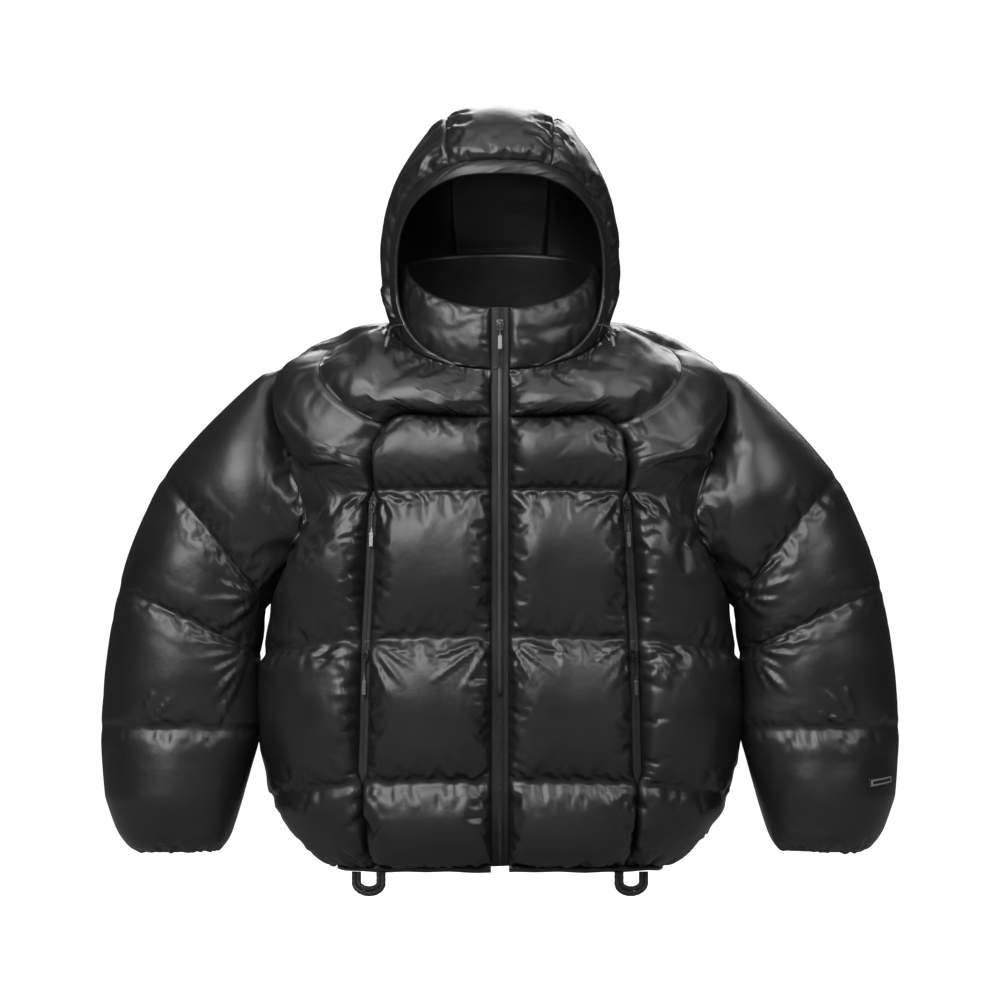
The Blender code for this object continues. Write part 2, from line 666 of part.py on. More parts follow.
def cuff_patch():
    """A plain patch on the front of the left cuff, raised from the sleeve's own outside."""
    points, outward, thickness = sleeve_wall()
    outside = points + outward * thickness[..., None]
    across = np.array(PATCH_COLUMNS)
    down = np.array(PATCH_ROWS)

    def spread(grid):
        left = across.astype(int)
        part = (across - left)[None, :, None]
        two = grid[PATCH_ROW : PATCH_ROW + 2]
        line = two[:, left] * (1 - part) + two[:, left + 1] * part
        slant = down[:, None] + PATCH_SLANT * ((across - across[0]) / (across[-1] - across[0]))[None]
        return line[0][None] * (1 - slant[..., None]) + line[1][None] * slant[..., None]

    ways = unit(spread(outward))
    foot = spread(outside) + ways * PATCH_LIFT
    wall("cuff_patch", foot, ways, np.full(foot.shape[:2], PATCH_WALL), CLOTH)


# ---------------------------------------------------------------- hood and collar


def neck_shares(offset):
    """How far the hood is drawn in towards the neck seam, across and from front to back, at points from its centre."""
    depth = np.maximum(-offset[..., 2], 0)
    side, front, back = (
        1 - share * (depth / at) ** 1.5 for share, at in (NECK_PULL_SIDE, NECK_PULL_FRONT, NECK_PULL_BACK)
    )
    return np.stack([side, np.where(offset[..., 1] < 0, front, back), np.ones(depth.shape)], -1)


def hood_half_sizes(offset):
    depth = np.where(offset[..., 1] < 0, HOOD_FRONT, HOOD_BACK)
    height = np.where(offset[..., 2] > 0, HOOD_UP, HOOD_DOWN)
    return np.stack([np.full(depth.shape, HOOD_HALF_WIDTH), depth, height], -1)


def hood_measure(offset):
    """1 on the hood's plain inside before it is drawn in to the neck, less within it and more outside it."""
    share = np.abs(offset / hood_half_sizes(offset)) ** HOOD_SQUARENESS
    return share.sum(-1) ** (1 / HOOD_SQUARENESS)


def opened(points):
    """Points as offsets from the hood's centre, with the drawing in to the neck undone."""
    offset = points - np.array([0, 0, HOOD_CENTRE_Z])
    return offset / neck_shares(offset)


def drawn_in(offset):
    return offset * neck_shares(offset) + np.array([0, 0, HOOD_CENTRE_Z])


def hood_outward(points):
    """The outward direction square to the hood's form."""
    steps = np.eye(3) * 0.5
    changes = [hood_measure(opened(points + step)) - hood_measure(opened(points - step)) for step in steps]
    return unit(np.stack(changes, -1))


def face_point(angle, widen=0.0, widen_side=0.0):
    """A point on the hood beside the face opening: angle goes from its top (0) round the left to its foot (pi)."""
    power = 2 / FACE_SQUARENESS
    upward = np.cos(angle)
    half_height = np.where(upward > 0, FACE_UP + widen, FACE_DOWN)
    x = (FACE_HALF_WIDTH + widen_side) * np.abs(np.sin(angle)) ** power
    z = FACE_Z + half_height * np.sign(upward) * np.abs(upward) ** power
    offset = np.stack([x, np.full(x.shape, -1.0), z - HOOD_CENTRE_Z], -1)
    shares = neck_shares(offset)
    flat = (offset / shares) * np.array([1, 0, 1])
    left = 1 - hood_measure(flat) ** HOOD_SQUARENESS
    y = -HOOD_FRONT * np.clip(left, 0, 1) ** (1 / HOOD_SQUARENESS) * shares[..., 1]
    return np.stack([x, y, z], -1)


def strip_point(turn, half_width):
    """A point of the hood beside its centre strip: turn goes up and over from the front (0) to the back (pi)."""
    way = np.stack([np.zeros(turn.shape), -np.cos(turn), np.sin(turn)], -1)
    left = 1 - (half_width / HOOD_HALF_WIDTH) ** HOOD_SQUARENESS
    radius = left ** (1 / HOOD_SQUARENESS) / hood_measure(way)
    return drawn_in(way * radius[..., None] + np.stack([half_width, 0 * turn, 0 * turn], -1))


def neck_line():
    """The neck seam from the zip round the left to the centre back, on the plain inside, with its turns."""
    turns = np.concatenate([neck_turns(), math.pi / 2 + np.radians(BACK_TURNS[1:])])
    return ring_point(BODY_RINGS, turns, np.zeros(len(turns))), turns


def rim_top_angle():
    """Where the rim's outer edge meets the centre strip's seam."""
    return math.asin((STRIP_HALF_WIDTH / (FACE_HALF_WIDTH + RIM_SIDE_WIDTH)) ** (FACE_SQUARENESS / 2))


def over_hood(foot, top, front, behind):
    """Fills four edges with points on the hood, eased from the edges' own distance from its form."""
    edges = [opened(edge) for edge in (foot, top, front, behind)]
    ways = [unit(edge) for edge in edges]
    stretch = [hood_measure(edge) for edge in edges]

    def fill(low, high, near, far):
        u = np.linspace(0, 1, len(low)).reshape((1, -1) + (1,) * (low.ndim - 1))
        v = np.linspace(0, 1, len(near)).reshape((-1, 1) + (1,) * (low.ndim - 1))
        rows = low[None] * (1 - v) + high[None] * v
        columns = near[:, None] * (1 - u) + far[:, None] * u
        corners = (low[0] * (1 - u) + low[-1] * u) * (1 - v) + (high[0] * (1 - u) + high[-1] * u) * v
        return rows + columns - corners

    way = unit(fill(*ways))
    return drawn_in(way * (fill(*stretch) / hood_measure(way))[..., None])


def hood_side_points():
    """The hood side's grid: rows from the neck seam up to the strip's seam, columns from the rim to the back."""
    neck, _ = neck_line()
    foot = neck[SIDE_CORNER : len(NECK_TURNS) + STRIP_TURN + 1]
    upward = np.linspace(0, 1, HOOD_ROWS + 1)
    angles = rim_top_angle() + (math.radians(132) - rim_top_angle()) * (1 - upward)
    rim = face_point(angles, RIM_WIDTH, RIM_SIDE_WIDTH)
    rim[0] = foot[0]
    rim_offset, foot_offset = opened(rim[-1]), opened(foot[-1])
    rim_turn = math.atan2(rim_offset[2], -rim_offset[1])
    foot_turn = math.atan2(foot_offset[2], -foot_offset[1]) % (2 * math.pi)
    corner = math.radians(STRIP_CORNER_TURN)
    over = rim_turn + (corner - rim_turn) * np.linspace(0, 1, len(foot))
    top = strip_point(over, np.full(len(foot), STRIP_HALF_WIDTH))
    down = foot_turn + (corner - foot_turn) * upward
    behind = strip_point(down, foot[-1, 0] + (STRIP_HALF_WIDTH - foot[-1, 0]) * upward)
    top[0], behind[0] = rim[-1], foot[-1]
    return over_hood(foot, top, rim, behind)


def hood_thickness(points, rim, neck, strip):
    """Wall thickness of a hood panel. rim, neck and strip list the grid's edges (axis, end) of each kind."""
    firm = np.ones(points.shape[:2])
    for edge in rim:
        firm = firm * rise(seam_distance(points, *edge), 24)
    for edge in neck:
        firm = firm * valley(seam_distance(points, *edge))
    full = np.ones(points.shape[:2])
    for edge in strip:
        full = full * rise(seam_distance(points, *edge), 30)
    return SEAM_WALL + firm * (STRIP_WALL - SEAM_WALL + HOOD_LOFT * full)


def hood_side():
    points = hood_side_points()
    outward = hood_outward(points)
    _, turns = neck_line()
    outward[0] = neck_edge(turns[SIDE_CORNER : len(NECK_TURNS) + STRIP_TURN + 1])
    thickness = hood_thickness(points, rim=[(1, 0)], neck=[(0, 0)], strip=[(0, -1), (1, -1)])
    both_sides("hood_side", points, outward, thickness, CLOTH)


def rim_top_points():
    """The rim's outer edge across the centre strip, from the strip's left seam to the middle."""
    points = face_point(rim_top_angle() * np.array([1, 0.5, 0]), RIM_WIDTH, RIM_SIDE_WIDTH)
    points[0] = hood_side_points()[-1, 0]
    return points


def with_mirror(half, axis=0):
    """A half that ends on the middle line, continued by its mirror image."""
    rest = np.flip(half, axis)[1:] if axis == 0 else np.flip(half, axis)[:, 1:]
    return np.concatenate([half, rest * np.array([-1, 1, 1])], axis)


def hood_centre():
    side = hood_side_points()
    seam = np.concatenate([side[-1], side[::-1][1:, -1]])
    neck, turns = neck_line()
    front, back = with_mirror(rim_top_points()), with_mirror(neck[-3:])
    points = over_hood(front, back, seam, seam * np.array([-1, 1, 1]))
    flat = np.sin(np.pi * np.linspace(0, 1, len(points)))[:, None] * np.sin(np.pi * np.linspace(0, 1, 5))
    points = drawn_in(opened(points) * (1 - STRIP_FLATNESS * flat)[..., None])
    outward = hood_outward(points)
    outward[-1] = with_mirror(neck_edge(turns[-3:]))
    thickness = hood_thickness(points, rim=[(0, 0)], neck=[(0, -1)], strip=[(1, 0), (1, -1)])
    wall("hood_centre", points, outward, thickness, CLOTH)


def hood_rim():
    """The casing round the face opening, from the left of the collar's foot over the top to the right."""
    side = hood_side_points()
    neck, turns = neck_line()
    foot = neck[RIM_END:SIDE_CORNER]
    outer = np.concatenate([foot, side[:, 0], rim_top_points()[1:]])
    lowest, next_low = np.radians(RIM_TURNS[::-1])
    top = rim_top_angle()
    upward = np.linspace(0, 1, HOOD_ROWS + 1)
    angles = np.concatenate([[lowest, lowest], next_low + (top - next_low) * upward, top * np.array([0.5, 0])])
    inner = face_point(angles)
    inner[0] = drawn_in(opened(outer[0]) + np.array([0, 0, 2.5]))
    middle = (outer + inner) / 2
    middle[1:] = drawn_in(opened(middle[1:]) / hood_measure(opened(middle[1:]))[:, None])
    outward = np.stack([hood_outward(outer), hood_outward(middle), hood_outward(inner)], 1)
    outward[: len(foot) + 1, 0] = neck_edge(turns[RIM_END : SIDE_CORNER + 1])
    outward[0, 1:] = outward[0, 0]
    points = with_mirror(np.stack([outer, middle, inner], 1))
    thickness = np.full(points.shape[:2], SEAM_WALL)
    thickness[1:-1, 1:] = RIM_WALLS
    wall("hood_rim", points, with_mirror(outward), thickness, CLOTH)


def collar():
    first = math.asin((ZIP_HALF / COLLAR_RINGS[0][3]) ** (COLLAR_RINGS[0][6] / 2))
    quarter = np.concatenate([[first], np.radians(NECK_TURNS)])
    half = np.concatenate([quarter, math.pi / 2 + np.radians(BACK_TURNS[1:])])
    turns = np.concatenate([half, 2 * math.pi - half[-2::-1]])
    places = np.linspace(len(COLLAR_RINGS) - 1, 0, 6)
    grid_turns = np.repeat(turns[None], len(places), 0)
    grid_places = np.repeat(places[:, None], len(turns), 1)
    points = ring_point(COLLAR_RINGS, grid_turns, grid_places)
    outward = -ring_outward(COLLAR_RINGS, grid_turns, grid_places)
    outward[..., 2] *= 0.3
    outward = unit(outward)
    points[:, 0, 0], points[:, -1, 0] = ZIP_HALF, -ZIP_HALF
    fullness = rise(seam_distance(points, 0, 0), 18) * valley(seam_distance(points, 0, -1), 30)
    fullness = fullness * rise(seam_distance(points, 1, 0), 16) * rise(seam_distance(points, 1, -1), 16)
    wall("collar", points, outward, SEAM_WALL + COLLAR_LOFT * fullness, CLOTH)


# ---------------------------------------------------------------- zips


def zip_path():
    """The front centre from the collar's top to the hem, on the plain inside: y and z."""
    upper = ring_point(COLLAR_RINGS, np.zeros(5), np.array([3, 2.6, 1.6, 0.8, 0]))
    yoke_places = ARMHOLE_TOP * even_baffle(5)
    places = np.concatenate([yoke_places, centre_front_places()[1:, 0]])
    lower = ring_point(BODY_RINGS, np.zeros(len(places)), places)
    return np.concatenate([upper, lower])[:, 1:]


def zip_tapes():
    path = zip_path()
    xs = np.array([0, CHAIN_HALF, ZIP_HALF])
    points = np.stack([np.insert(path, 0, x, axis=1) for x in xs], 1)
    down = np.gradient(path, axis=0)
    outward = unit(np.stack([np.zeros(len(path)), down[:, 1], -down[:, 0]], -1))
    outward = np.repeat(outward[:, None], len(xs), 1)
    thickness = np.broadcast_to(np.array([CHAIN_WALL, CHAIN_WALL, TAPE_WALL]), points.shape[:2])
    both_sides("zip_tape", points, outward, thickness, TAPE)


def pocket_tape_grid(top, end):
    """A pocket zip's tape in the seam beside the centre front, between two quilting lines."""
    places = centre_front_places()[:, -1]
    places = places[(places >= top - 0.01) & (places <= end + 0.01)]
    seam_x = along_rows(BODY_RINGS, places)[:, 7]
    half = pocket_gap(places)
    xs = np.stack([seam_x - half, seam_x, seam_x + half], 1)
    return body_wall(turn_at(xs, places[:, None]), np.repeat(places[:, None], 3, 1))


def pocket_tapes():
    for level, top, end in (("upper", FIRST_LINE, SECOND_LINE), ("lower", SECOND_LINE, THIRD_LINE)):
        inside, outward = pocket_tape_grid(top, end)
        thickness = np.broadcast_to(np.array([TAPE_WALL, CHAIN_WALL, TAPE_WALL]), inside.shape[:2])
        mirror = np.array([-1, 1, 1])
        wall(f"pocket_tape_{level}_left", inside, outward, thickness, TAPE)
        wall(f"pocket_tape_{level}_right", inside * mirror, outward * mirror, thickness, TAPE)


def box(size, centre=(0, 0, 0)):
    """A box mesh, its size and centre in mm."""
    shape = bmesh.new()
    place = Matrix.Translation(Vector(centre) * MM)
    bmesh.ops.create_cube(shape, size=1.0, matrix=place @ Matrix.Diagonal((*(Vector(size) * MM), 1)))
    return shape


def helper(name, shape):
    """A cutter or a shape to be joined, kept out of the jacket."""
    mesh = bpy.data.meshes.new(name)
    shape.to_mesh(mesh)
    shape.free()
    thing = bpy.data.objects.new(name, mesh)
    bpy.data.collections[f"{NAME}_cutters"].objects.link(thing)
    thing.hide_render = True
    thing.display_type = "WIRE"
    return thing


def combined(name, base, *others, bevel=0.0):
    """A mesh made from a base and (operation, shape) pairs, with its edges rounded first."""
    start = helper(f"{name}_base", base)
    for number, (operation, shape) in enumerate(others):
        change = start.modifiers.new(operation.lower(), "BOOLEAN")
        change.operation = operation
        change.object = helper(f"{name}_{number}", shape)
    if bevel:
        soften = start.modifiers.new("bevel", "BEVEL")
        soften.width = bevel * MM
        soften.segments = 1
        soften.limit_method = "ANGLE"
    graph = bpy.context.evaluated_depsgraph_get()
    mesh = bpy.data.meshes.new_from_object(start.evaluated_get(graph))
    mesh.name = name
    return mesh


def slider_mesh():
    """A slider whose bridge's slot is centred on the hinge: local -Y points away from the tape."""
    body_front = BAR / 2 + 0.45
    body = box((SLIDER_WIDTH, SLIDER_DEPTH, SLIDER_HEIGHT), (0, body_front + SLIDER_DEPTH / 2, 0))
    bridge_y = body_front - BRIDGE_DEPTH / 2
    bridge = box((BRIDGE_WIDTH, BRIDGE_DEPTH + 0.6, BRIDGE_HEIGHT), (0, bridge_y + 0.3, 0))
    slot = box((BRIDGE_WIDTH * 2, SLOT_DEPTH, SLOT_HEIGHT), (0, body_front - SLOT_DEPTH / 2, 0))
    return combined("slider", body, ("UNION", bridge), ("DIFFERENCE", slot), bevel=0.35)


def pull_mesh(length):
    """A pull that hangs from its cross bar at the origin: eye, slim neck and grip."""
    eye_length, eye_width = 8.6, 6.4
    eye = box((eye_width, BAR, eye_length), (0, 0, BAR / 2 - eye_length / 2))
    window = box((BRIDGE_WIDTH + 1.0, BAR * 2, 5.4), (0, 0, -BAR / 2 - 2.7))
    grip_length = 17.0
    neck_length = length - eye_length - grip_length + 2
    neck = box((2.2, BAR * 0.6, neck_length), (0, 0, BAR / 2 - eye_length - neck_length / 2 + 1))
    grip = box((4.8, 2.3, grip_length), (0, 0, BAR / 2 - length + grip_length / 2))
    return combined("pull", eye, ("UNION", neck), ("UNION", grip), ("DIFFERENCE", window), bevel=0.15)


def place_zip_end(stem, point, outward, meshes):
    """Puts a slider and its pull on a tape. The hinge lies off the tape by the slider's own depth."""
    lift = CHAIN_WALL + SEAM_GAP + SLIDER_DEPTH + BAR / 2 + 0.45
    hinge = (point + outward * lift) * MM
    facing = math.atan2(outward[0], -outward[1])
    lean = math.asin(outward[2])
    slider = put(stem.format("slider"), meshes[0].copy(), METAL, 30)
    pull = put(stem.format("pull"), meshes[1].copy(), METAL, 30)
    slider.location = pull.location = hinge
    slider.rotation_euler = Euler((-lean, 0, facing))
    pull.rotation_euler = Euler((-lean - PULL_LEAN, 0, facing))


def zip_ends():
    slider = slider_mesh()
    main_pull, pocket_pull = pull_mesh(MAIN_PULL), pull_mesh(POCKET_PULL)
    path = zip_path()
    above = np.flatnonzero(path[:, 1] > MAIN_SLIDER_Z)[-1]
    y = np.interp(-MAIN_SLIDER_Z, -path[:, 1], path[:, 0])
    down = path[above + 1] - path[above]
    outward = unit(np.array([0, down[1], -down[0]]))
    place_zip_end("zip_{}", np.array([0, y, MAIN_SLIDER_Z]), outward, (slider, main_pull))
    for level, place in zip(("upper", "lower"), POCKET_SLIDER_PLACES):
        x = along_rows(BODY_RINGS, np.float64(place))[7]
        point, outward = body_wall(turn_at(x, np.float64(place)), np.float64(place))
        for side, sign in (("left", 1), ("right", -1)):
            mirror = np.array([sign, 1, 1])
            stem = "pocket_{}_" + f"{level}_{side}"
            place_zip_end(stem, point * mirror, outward * mirror, (slider, pocket_pull))


# ---------------------------------------------------------------- casing, cords, patch


def hem_casing():
    """The casing below the hem seam, from the left of the zip round the back to its right."""
    first = float(turn_at(ZIP_HALF, np.float64(HEM)))
    front = panel_turns_at_hem()
    half = np.concatenate([[first], front[1:], math.pi / 2 + np.radians(BACK_TURNS[1:])])
    turns = np.concatenate([half, 2 * math.pi - half[-2::-1]])
    top = ring_point(BODY_RINGS, turns, np.full(len(turns), float(HEM)))
    foot = top + np.array([0, 0, -HEM_CASING_HEIGHT])
    points = np.stack([top, foot])
    points[:, 0, 0], points[:, -1, 0] = ZIP_HALF, -ZIP_HALF
    edge = ring_outward(BODY_RINGS, turns, np.full(len(turns), float(HEM)))
    flat = unit(edge * np.array([1, 1, 0]))
    outward = np.stack([edge, flat])
    wall("hem_casing", points, outward, np.full(points.shape[:2], SEAM_WALL), CLOTH)


def panel_turns_at_hem():
    """Turns of the columns of the centre front and the side front where they end at the hem."""
    shares, _ = corner_shares()
    edge_x = along_rows(BODY_RINGS, np.float64(HEM))[7]
    centre = turn_at(ZIP_HALF + shares * (edge_x - ZIP_HALF), np.full(len(shares), float(HEM)))
    side = centre[-1] + (math.pi / 2 - centre[-1]) * even_baffle(5)[1:]
    return np.concatenate([centre, side])


def cord(name, points, diameter, finish):
    """A round cord along points in mm."""
    curve = bpy.data.curves.new(name, "CURVE")
    curve.dimensions = "3D"
    curve.bevel_depth = diameter / 2 * MM
    curve.bevel_resolution = 2
    curve.use_fill_caps = True
    spline = curve.splines.new("POLY")
    spline.points.add(len(points) - 1)
    for made, point in zip(spline.points, points):
        made.co = (*(np.asarray(point) * MM), 1)
    curve.materials.append(finish)
    thing = bpy.data.objects.new(name, curve)
    bpy.data.collections[NAME].objects.link(thing)


def hem_cords():
    """A doubled loop of the hem's draw cord on each side: two strands side by side under the casing."""
    foot_z = BODY_RINGS[HEM][0] - HEM_CASING_HEIGHT
    point, outward = body_wall(turn_at(HEM_CORD_X, np.float64(HEM)), np.float64(HEM))
    facing = math.atan2(outward[0], -outward[1])
    across = np.array([math.cos(facing), math.sin(facing), 0])
    middle = np.array([HEM_CORD_X, point[1], 0]) + unit(outward * np.array([1, 1, 0])) * SEAM_WALL / 2
    for side, sign in (("left", 1), ("right", -1)):
        for strand, half in HEM_CORD_HALVES.items():
            drop = HEM_CORD_DROP[strand]
            angles = np.linspace(0, math.pi, 11)
            straight = drop - half * 0.62
            route = [middle + across * half + np.array([0, 0, foot_z - SEAM_GAP])]
            for angle in angles:
                low = foot_z - SEAM_GAP - straight - (drop - straight) * math.sin(angle)
                route.append(middle + across * half * math.cos(angle) + np.array([0, 0, low]))
            route.append(middle - across * half + np.array([0, 0, foot_z - SEAM_GAP]))
            cord(f"hem_cord_{strand}_{side}", np.array(route) * np.array([sign, 1, 1]), HEM_CORD, CORD)


def hood_cords():
    """The free end of the hood's draw cord on each side, with a moulded tip below it."""
    for side, sign in (("left", 1), ("right", -1)):
        corners = np.array(HOOD_CORD_ROUTE, float) * np.array([sign, 1, 1])
        route = along_rows(corners, np.linspace(0, len(corners) - 1, 13))
        cord(f"hood_cord_{side}", route, HOOD_CORD, CORD)
        way = unit(route[-1] - route[-2])
        middle = route[-1] + way * (SEAM_GAP + TIP_LENGTH / 2)
        shape = bmesh.new()
        turn = Vector((0, 0, 1)).rotation_difference(Vector(way)).to_matrix().to_4x4()
        bmesh.ops.create_cone(
            shape,
            cap_ends=True,
            segments=12,
            radius1=TIP_WIDTHS[0] / 2 * MM,
            radius2=TIP_WIDTHS[1] / 2 * MM,
            depth=TIP_LENGTH * MM,
            matrix=Matrix.Translation(Vector(middle) * MM) @ turn,
        )
        mesh = bpy.data.meshes.new("tip")
        shape.to_mesh(mesh)
        shape.free()
        put(f"hood_cord_tip_{side}", mesh, TIP)


def main():
    centre_front()
    yoke()
    side_front()
    back()
    sleeve()
    hood_side()
    hood_centre()
    hood_rim()
    collar()
    zip_tapes()
    pocket_tapes()
    zip_ends()
    hem_casing()
    hem_cords()
    hood_cords()
    cuff_patch()


clear_scene()
collection(NAME)
collection(f"{NAME}_cutters", hidden=True)
CLOTH = material("black_nylon", BLACK_NYLON, 0.32)
TAPE = material("zip_tape", ZIP_BLACK, 0.6)
METAL = material("dark_metal", DARK_METAL, 0.35, 1.0)
CORD = material("cord", ZIP_BLACK, 0.7)
TIP = material("cord_tip", (0.05, 0.05, 0.052, 1), 0.4)
main()
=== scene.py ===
"""A hooded puffer jacket in glossy black nylon: the finish of every piece over its CAD frame."""

import math

import bmesh
import bpy
import numpy as np
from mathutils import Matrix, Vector


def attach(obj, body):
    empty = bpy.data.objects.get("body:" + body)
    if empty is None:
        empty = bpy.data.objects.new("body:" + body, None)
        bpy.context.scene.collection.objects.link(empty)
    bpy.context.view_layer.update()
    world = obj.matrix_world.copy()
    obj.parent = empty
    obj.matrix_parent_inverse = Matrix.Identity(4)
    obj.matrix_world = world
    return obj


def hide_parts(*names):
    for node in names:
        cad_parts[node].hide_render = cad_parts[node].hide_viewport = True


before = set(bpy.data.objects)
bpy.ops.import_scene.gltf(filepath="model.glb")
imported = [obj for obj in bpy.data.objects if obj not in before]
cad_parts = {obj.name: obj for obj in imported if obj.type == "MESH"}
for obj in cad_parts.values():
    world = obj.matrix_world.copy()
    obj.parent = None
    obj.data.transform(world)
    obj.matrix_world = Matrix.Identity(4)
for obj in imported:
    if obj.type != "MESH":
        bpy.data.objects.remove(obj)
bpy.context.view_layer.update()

MM = 0.001
BODY = "jacket"
SEED = 7
TO_RIGHT = np.array([-1, 1, 1])  # turns a point of the left side into one of the right side
SIDES = (("left", np.array([1, 1, 1])), ("right", TO_RIGHT))
POCKETS = ("upper", "lower")

# ---------------------------------------------------------------- sizes, in mm

SEAM_GAP = 0.3  # between two pieces that are sewn together
SEAM_WALL = 3.0  # thickness of the wall at a seam
QUILT_WALL = 8.0  # thickness of the wall under a quilting line
LOFT = 22.0  # how far the filling raises the wall between two quilting lines
STRIP_WALL = 8.0  # thickness of the wall at the seams of the hood's centre strip
HOOD_LOFT = 5.0
COLLAR_LOFT = 6.0
SEAM_RISE = 36.0  # from a seam inwards, the stretch over which the wall reaches its full thickness
VALLEY_RISE = 62.0  # the same beside a seam where two pieces meet at a hollow angle
UNDERARM_RISE = 95.0
SHOULDER_WALL = 23.0

RING_DIP = 1.1  # how squarely a ring falls from its sides to its front and back
BODY_RINGS = (
    # side z, front z, back z, half width, front depth, back depth, squareness, x of the panel seam
    (0, -58, 12, 131, 104, 95, 2.2, 158),  # neck seam
    (-34, -87, -26, 190, 112, 104, 2.4, 158),
    (-58, -115, -62, 250, 118, 112, 2.6, 158),  # shoulder ends, and the top of the centre fronts
    (-138, -160, -138, 262, 122, 117, 2.8, 156),
    (-219, -205, -215, 267, 126, 121, 2.8, 155),  # first quilting line
    (-282, -265, -280, 269, 129, 124, 2.8, 158),
    (-345, -325, -340, 270, 131, 126, 2.8, 161),  # underarms
    (-410, -386, -400, 271, 133, 128, 2.8, 164),  # second quilting line
    (-494, -474, -486, 270, 134, 129, 2.8, 166),
    (-580, -562, -574, 259, 132, 127, 2.8, 168),  # third quilting line
    (-622, -612, -618, 238, 126, 121, 2.7, 164),
    (-650, -646, -648, 214, 114, 110, 2.6, 158),
    (-663, -663, -663, 197, 102, 98, 2.5, 151),  # hem seam
)
NECK, ARMHOLE_TOP, FIRST_LINE, UNDERARM, SECOND_LINE, THIRD_LINE, HEM = 0, 2, 4, 6, 7, 9, 12
ARMHOLE_DEPTH = 80.0
ARMHOLE_POINT = 1.35
ARMHOLE_STEPS = (0, 0.06, 0.14, 0.24, 0.36, 0.525, 0.66, 0.79, 0.9, 1)
FIRST_ARMHOLE_ROW = 2
CORNER_RADIUS = 56.0
CORNER_STEPS = 4
DIAGONAL_STEP = 2
SHOULDER_MEET = 1.3
NECK_TURNS = (22, 42, 60, 75, 90)
BACK_TURNS = (0, 18, 36, 54, 70.6, 80, 90)
STRIP_TURN = 4
HEM_CASING_HEIGHT = 12.0
HEM_CASING_POINTS = (11, 640)  # rows down it and points round it

SLEEVE_RINGS = (
    # outer x, outer z, inner x, inner z, half depth, y of the middle
    (331, -135, 279, -342, 76, 0),
    (393, -205, 290, -350, 70, 0),  # first quilting line
    (427, -280, 302, -384, 67, -2),
    (444, -333, 308, -406, 65, -5),  # second quilting line
    (457, -410, 309, -450, 63, -9),
    (465, -498, 307, -498, 62, -13),  # third quilting line
    (462, -552, 322, -552, 60, -16),
    (457, -601, 334, -601, 56, -18),
    (450, -634, 343, -634, 50, -19),
    (440, -648, 352, -648, 43, -19),  # cuff edge
)
SLEEVE_LINES = (0, 2, 4, 6, 10)
SLEEVE_STEPS = (6, 5, 5, 5)
INNER_LOFT = 0.35
SLEEVE_CREASE = 0.8

HOOD_CENTRE_Z = 78.0
HOOD_HALF_WIDTH = 135.5
HOOD_FRONT = 135.0
HOOD_BACK = 130.0
HOOD_UP = 187.0
HOOD_DOWN = 300.0
HOOD_SQUARENESS = 2.1
NECK_PULL_SIDE = (0.005, 78)
NECK_PULL_FRONT = (0.148, 136)
NECK_PULL_BACK = (0.254, 66)
FACE_Z = 62.0
FACE_HALF_WIDTH = 126.0
FACE_UP = 121.0
FACE_DOWN = 113.0
FACE_SQUARENESS = 2.6
RIM_WIDTH = 17.0
RIM_SIDE_WIDTH = 7.5
RIM_WALLS = (5.5, 4.0)
STRIP_HALF_WIDTH = 61.0
STRIP_FLATNESS = 0.042
HOOD_ROWS = 7
SIDE_CORNER = 3
RIM_END = 1
RIM_TURNS = (130, 142)
STRIP_CORNER_TURN = 150.0

COLLAR_RINGS = (
    # side z, front z, back z, half width, front depth, back depth, squareness, not used
    (3, -55, 15, 126, 99, 90, 2.2, 0),
    (28, -30, 40, 121, 97, 85, 2.2, 0),
    (52, -4, 66, 117, 94, 80, 2.2, 0),
    (74, 20, 92, 114, 90, 76, 2.2, 0),
)

ZIP_HALF = 11.0
POCKET_GAP_HALF = 5.8
POCKET_END_HALF = 0.9

# Cloth over the filling, in mm
CREASE_REACH = 40.0  # how far from a seam the spare cloth reaches
SPARE_CLOTH = 0.07  # share by which the cloth is longer than the form beside a seam
SEAM_SPARE, LINE_SPARE = 1.0, 0.5
GATHER_STEP = 11.0
GATHER_LENGTH = 52.0
GATHER_HEIGHT = 2.3
FAN_HEIGHT = 4.4
KEPT_CREASE = 0.6  # share of the creases that is added again once the cloth has settled
HEM_TUCK, SHOULDER_TUCK = 0.45, 8.0
RIM_PUCKERS, HEM_PUCKERS = (9.0, 1.1), (10.0, 1.2)  # step and height
CLOTH_FRAMES = 20
CLOTH = {
    "quality": 5,
    "mass": 0.3,
    "tension_stiffness": 15,
    "compression_stiffness": 15,
    "shear_stiffness": 5,
    "bending_stiffness": 0.4,
    "tension_damping": 5,
    "compression_damping": 5,
    "shear_damping": 5,
    "air_damping": 1,
    "vertex_group_mass": "held",
    "pin_stiffness": 1,
    "shrink_min": -SPARE_CLOTH,
    "shrink_max": 0.0,
    "vertex_group_shrink": "taut",
    "use_pressure": True,
    "uniform_pressure_force": 4.0,
}
MOVE_IN, MOVE_OUT, MOVE_ASIDE = 6.5, 3.5, 5.0

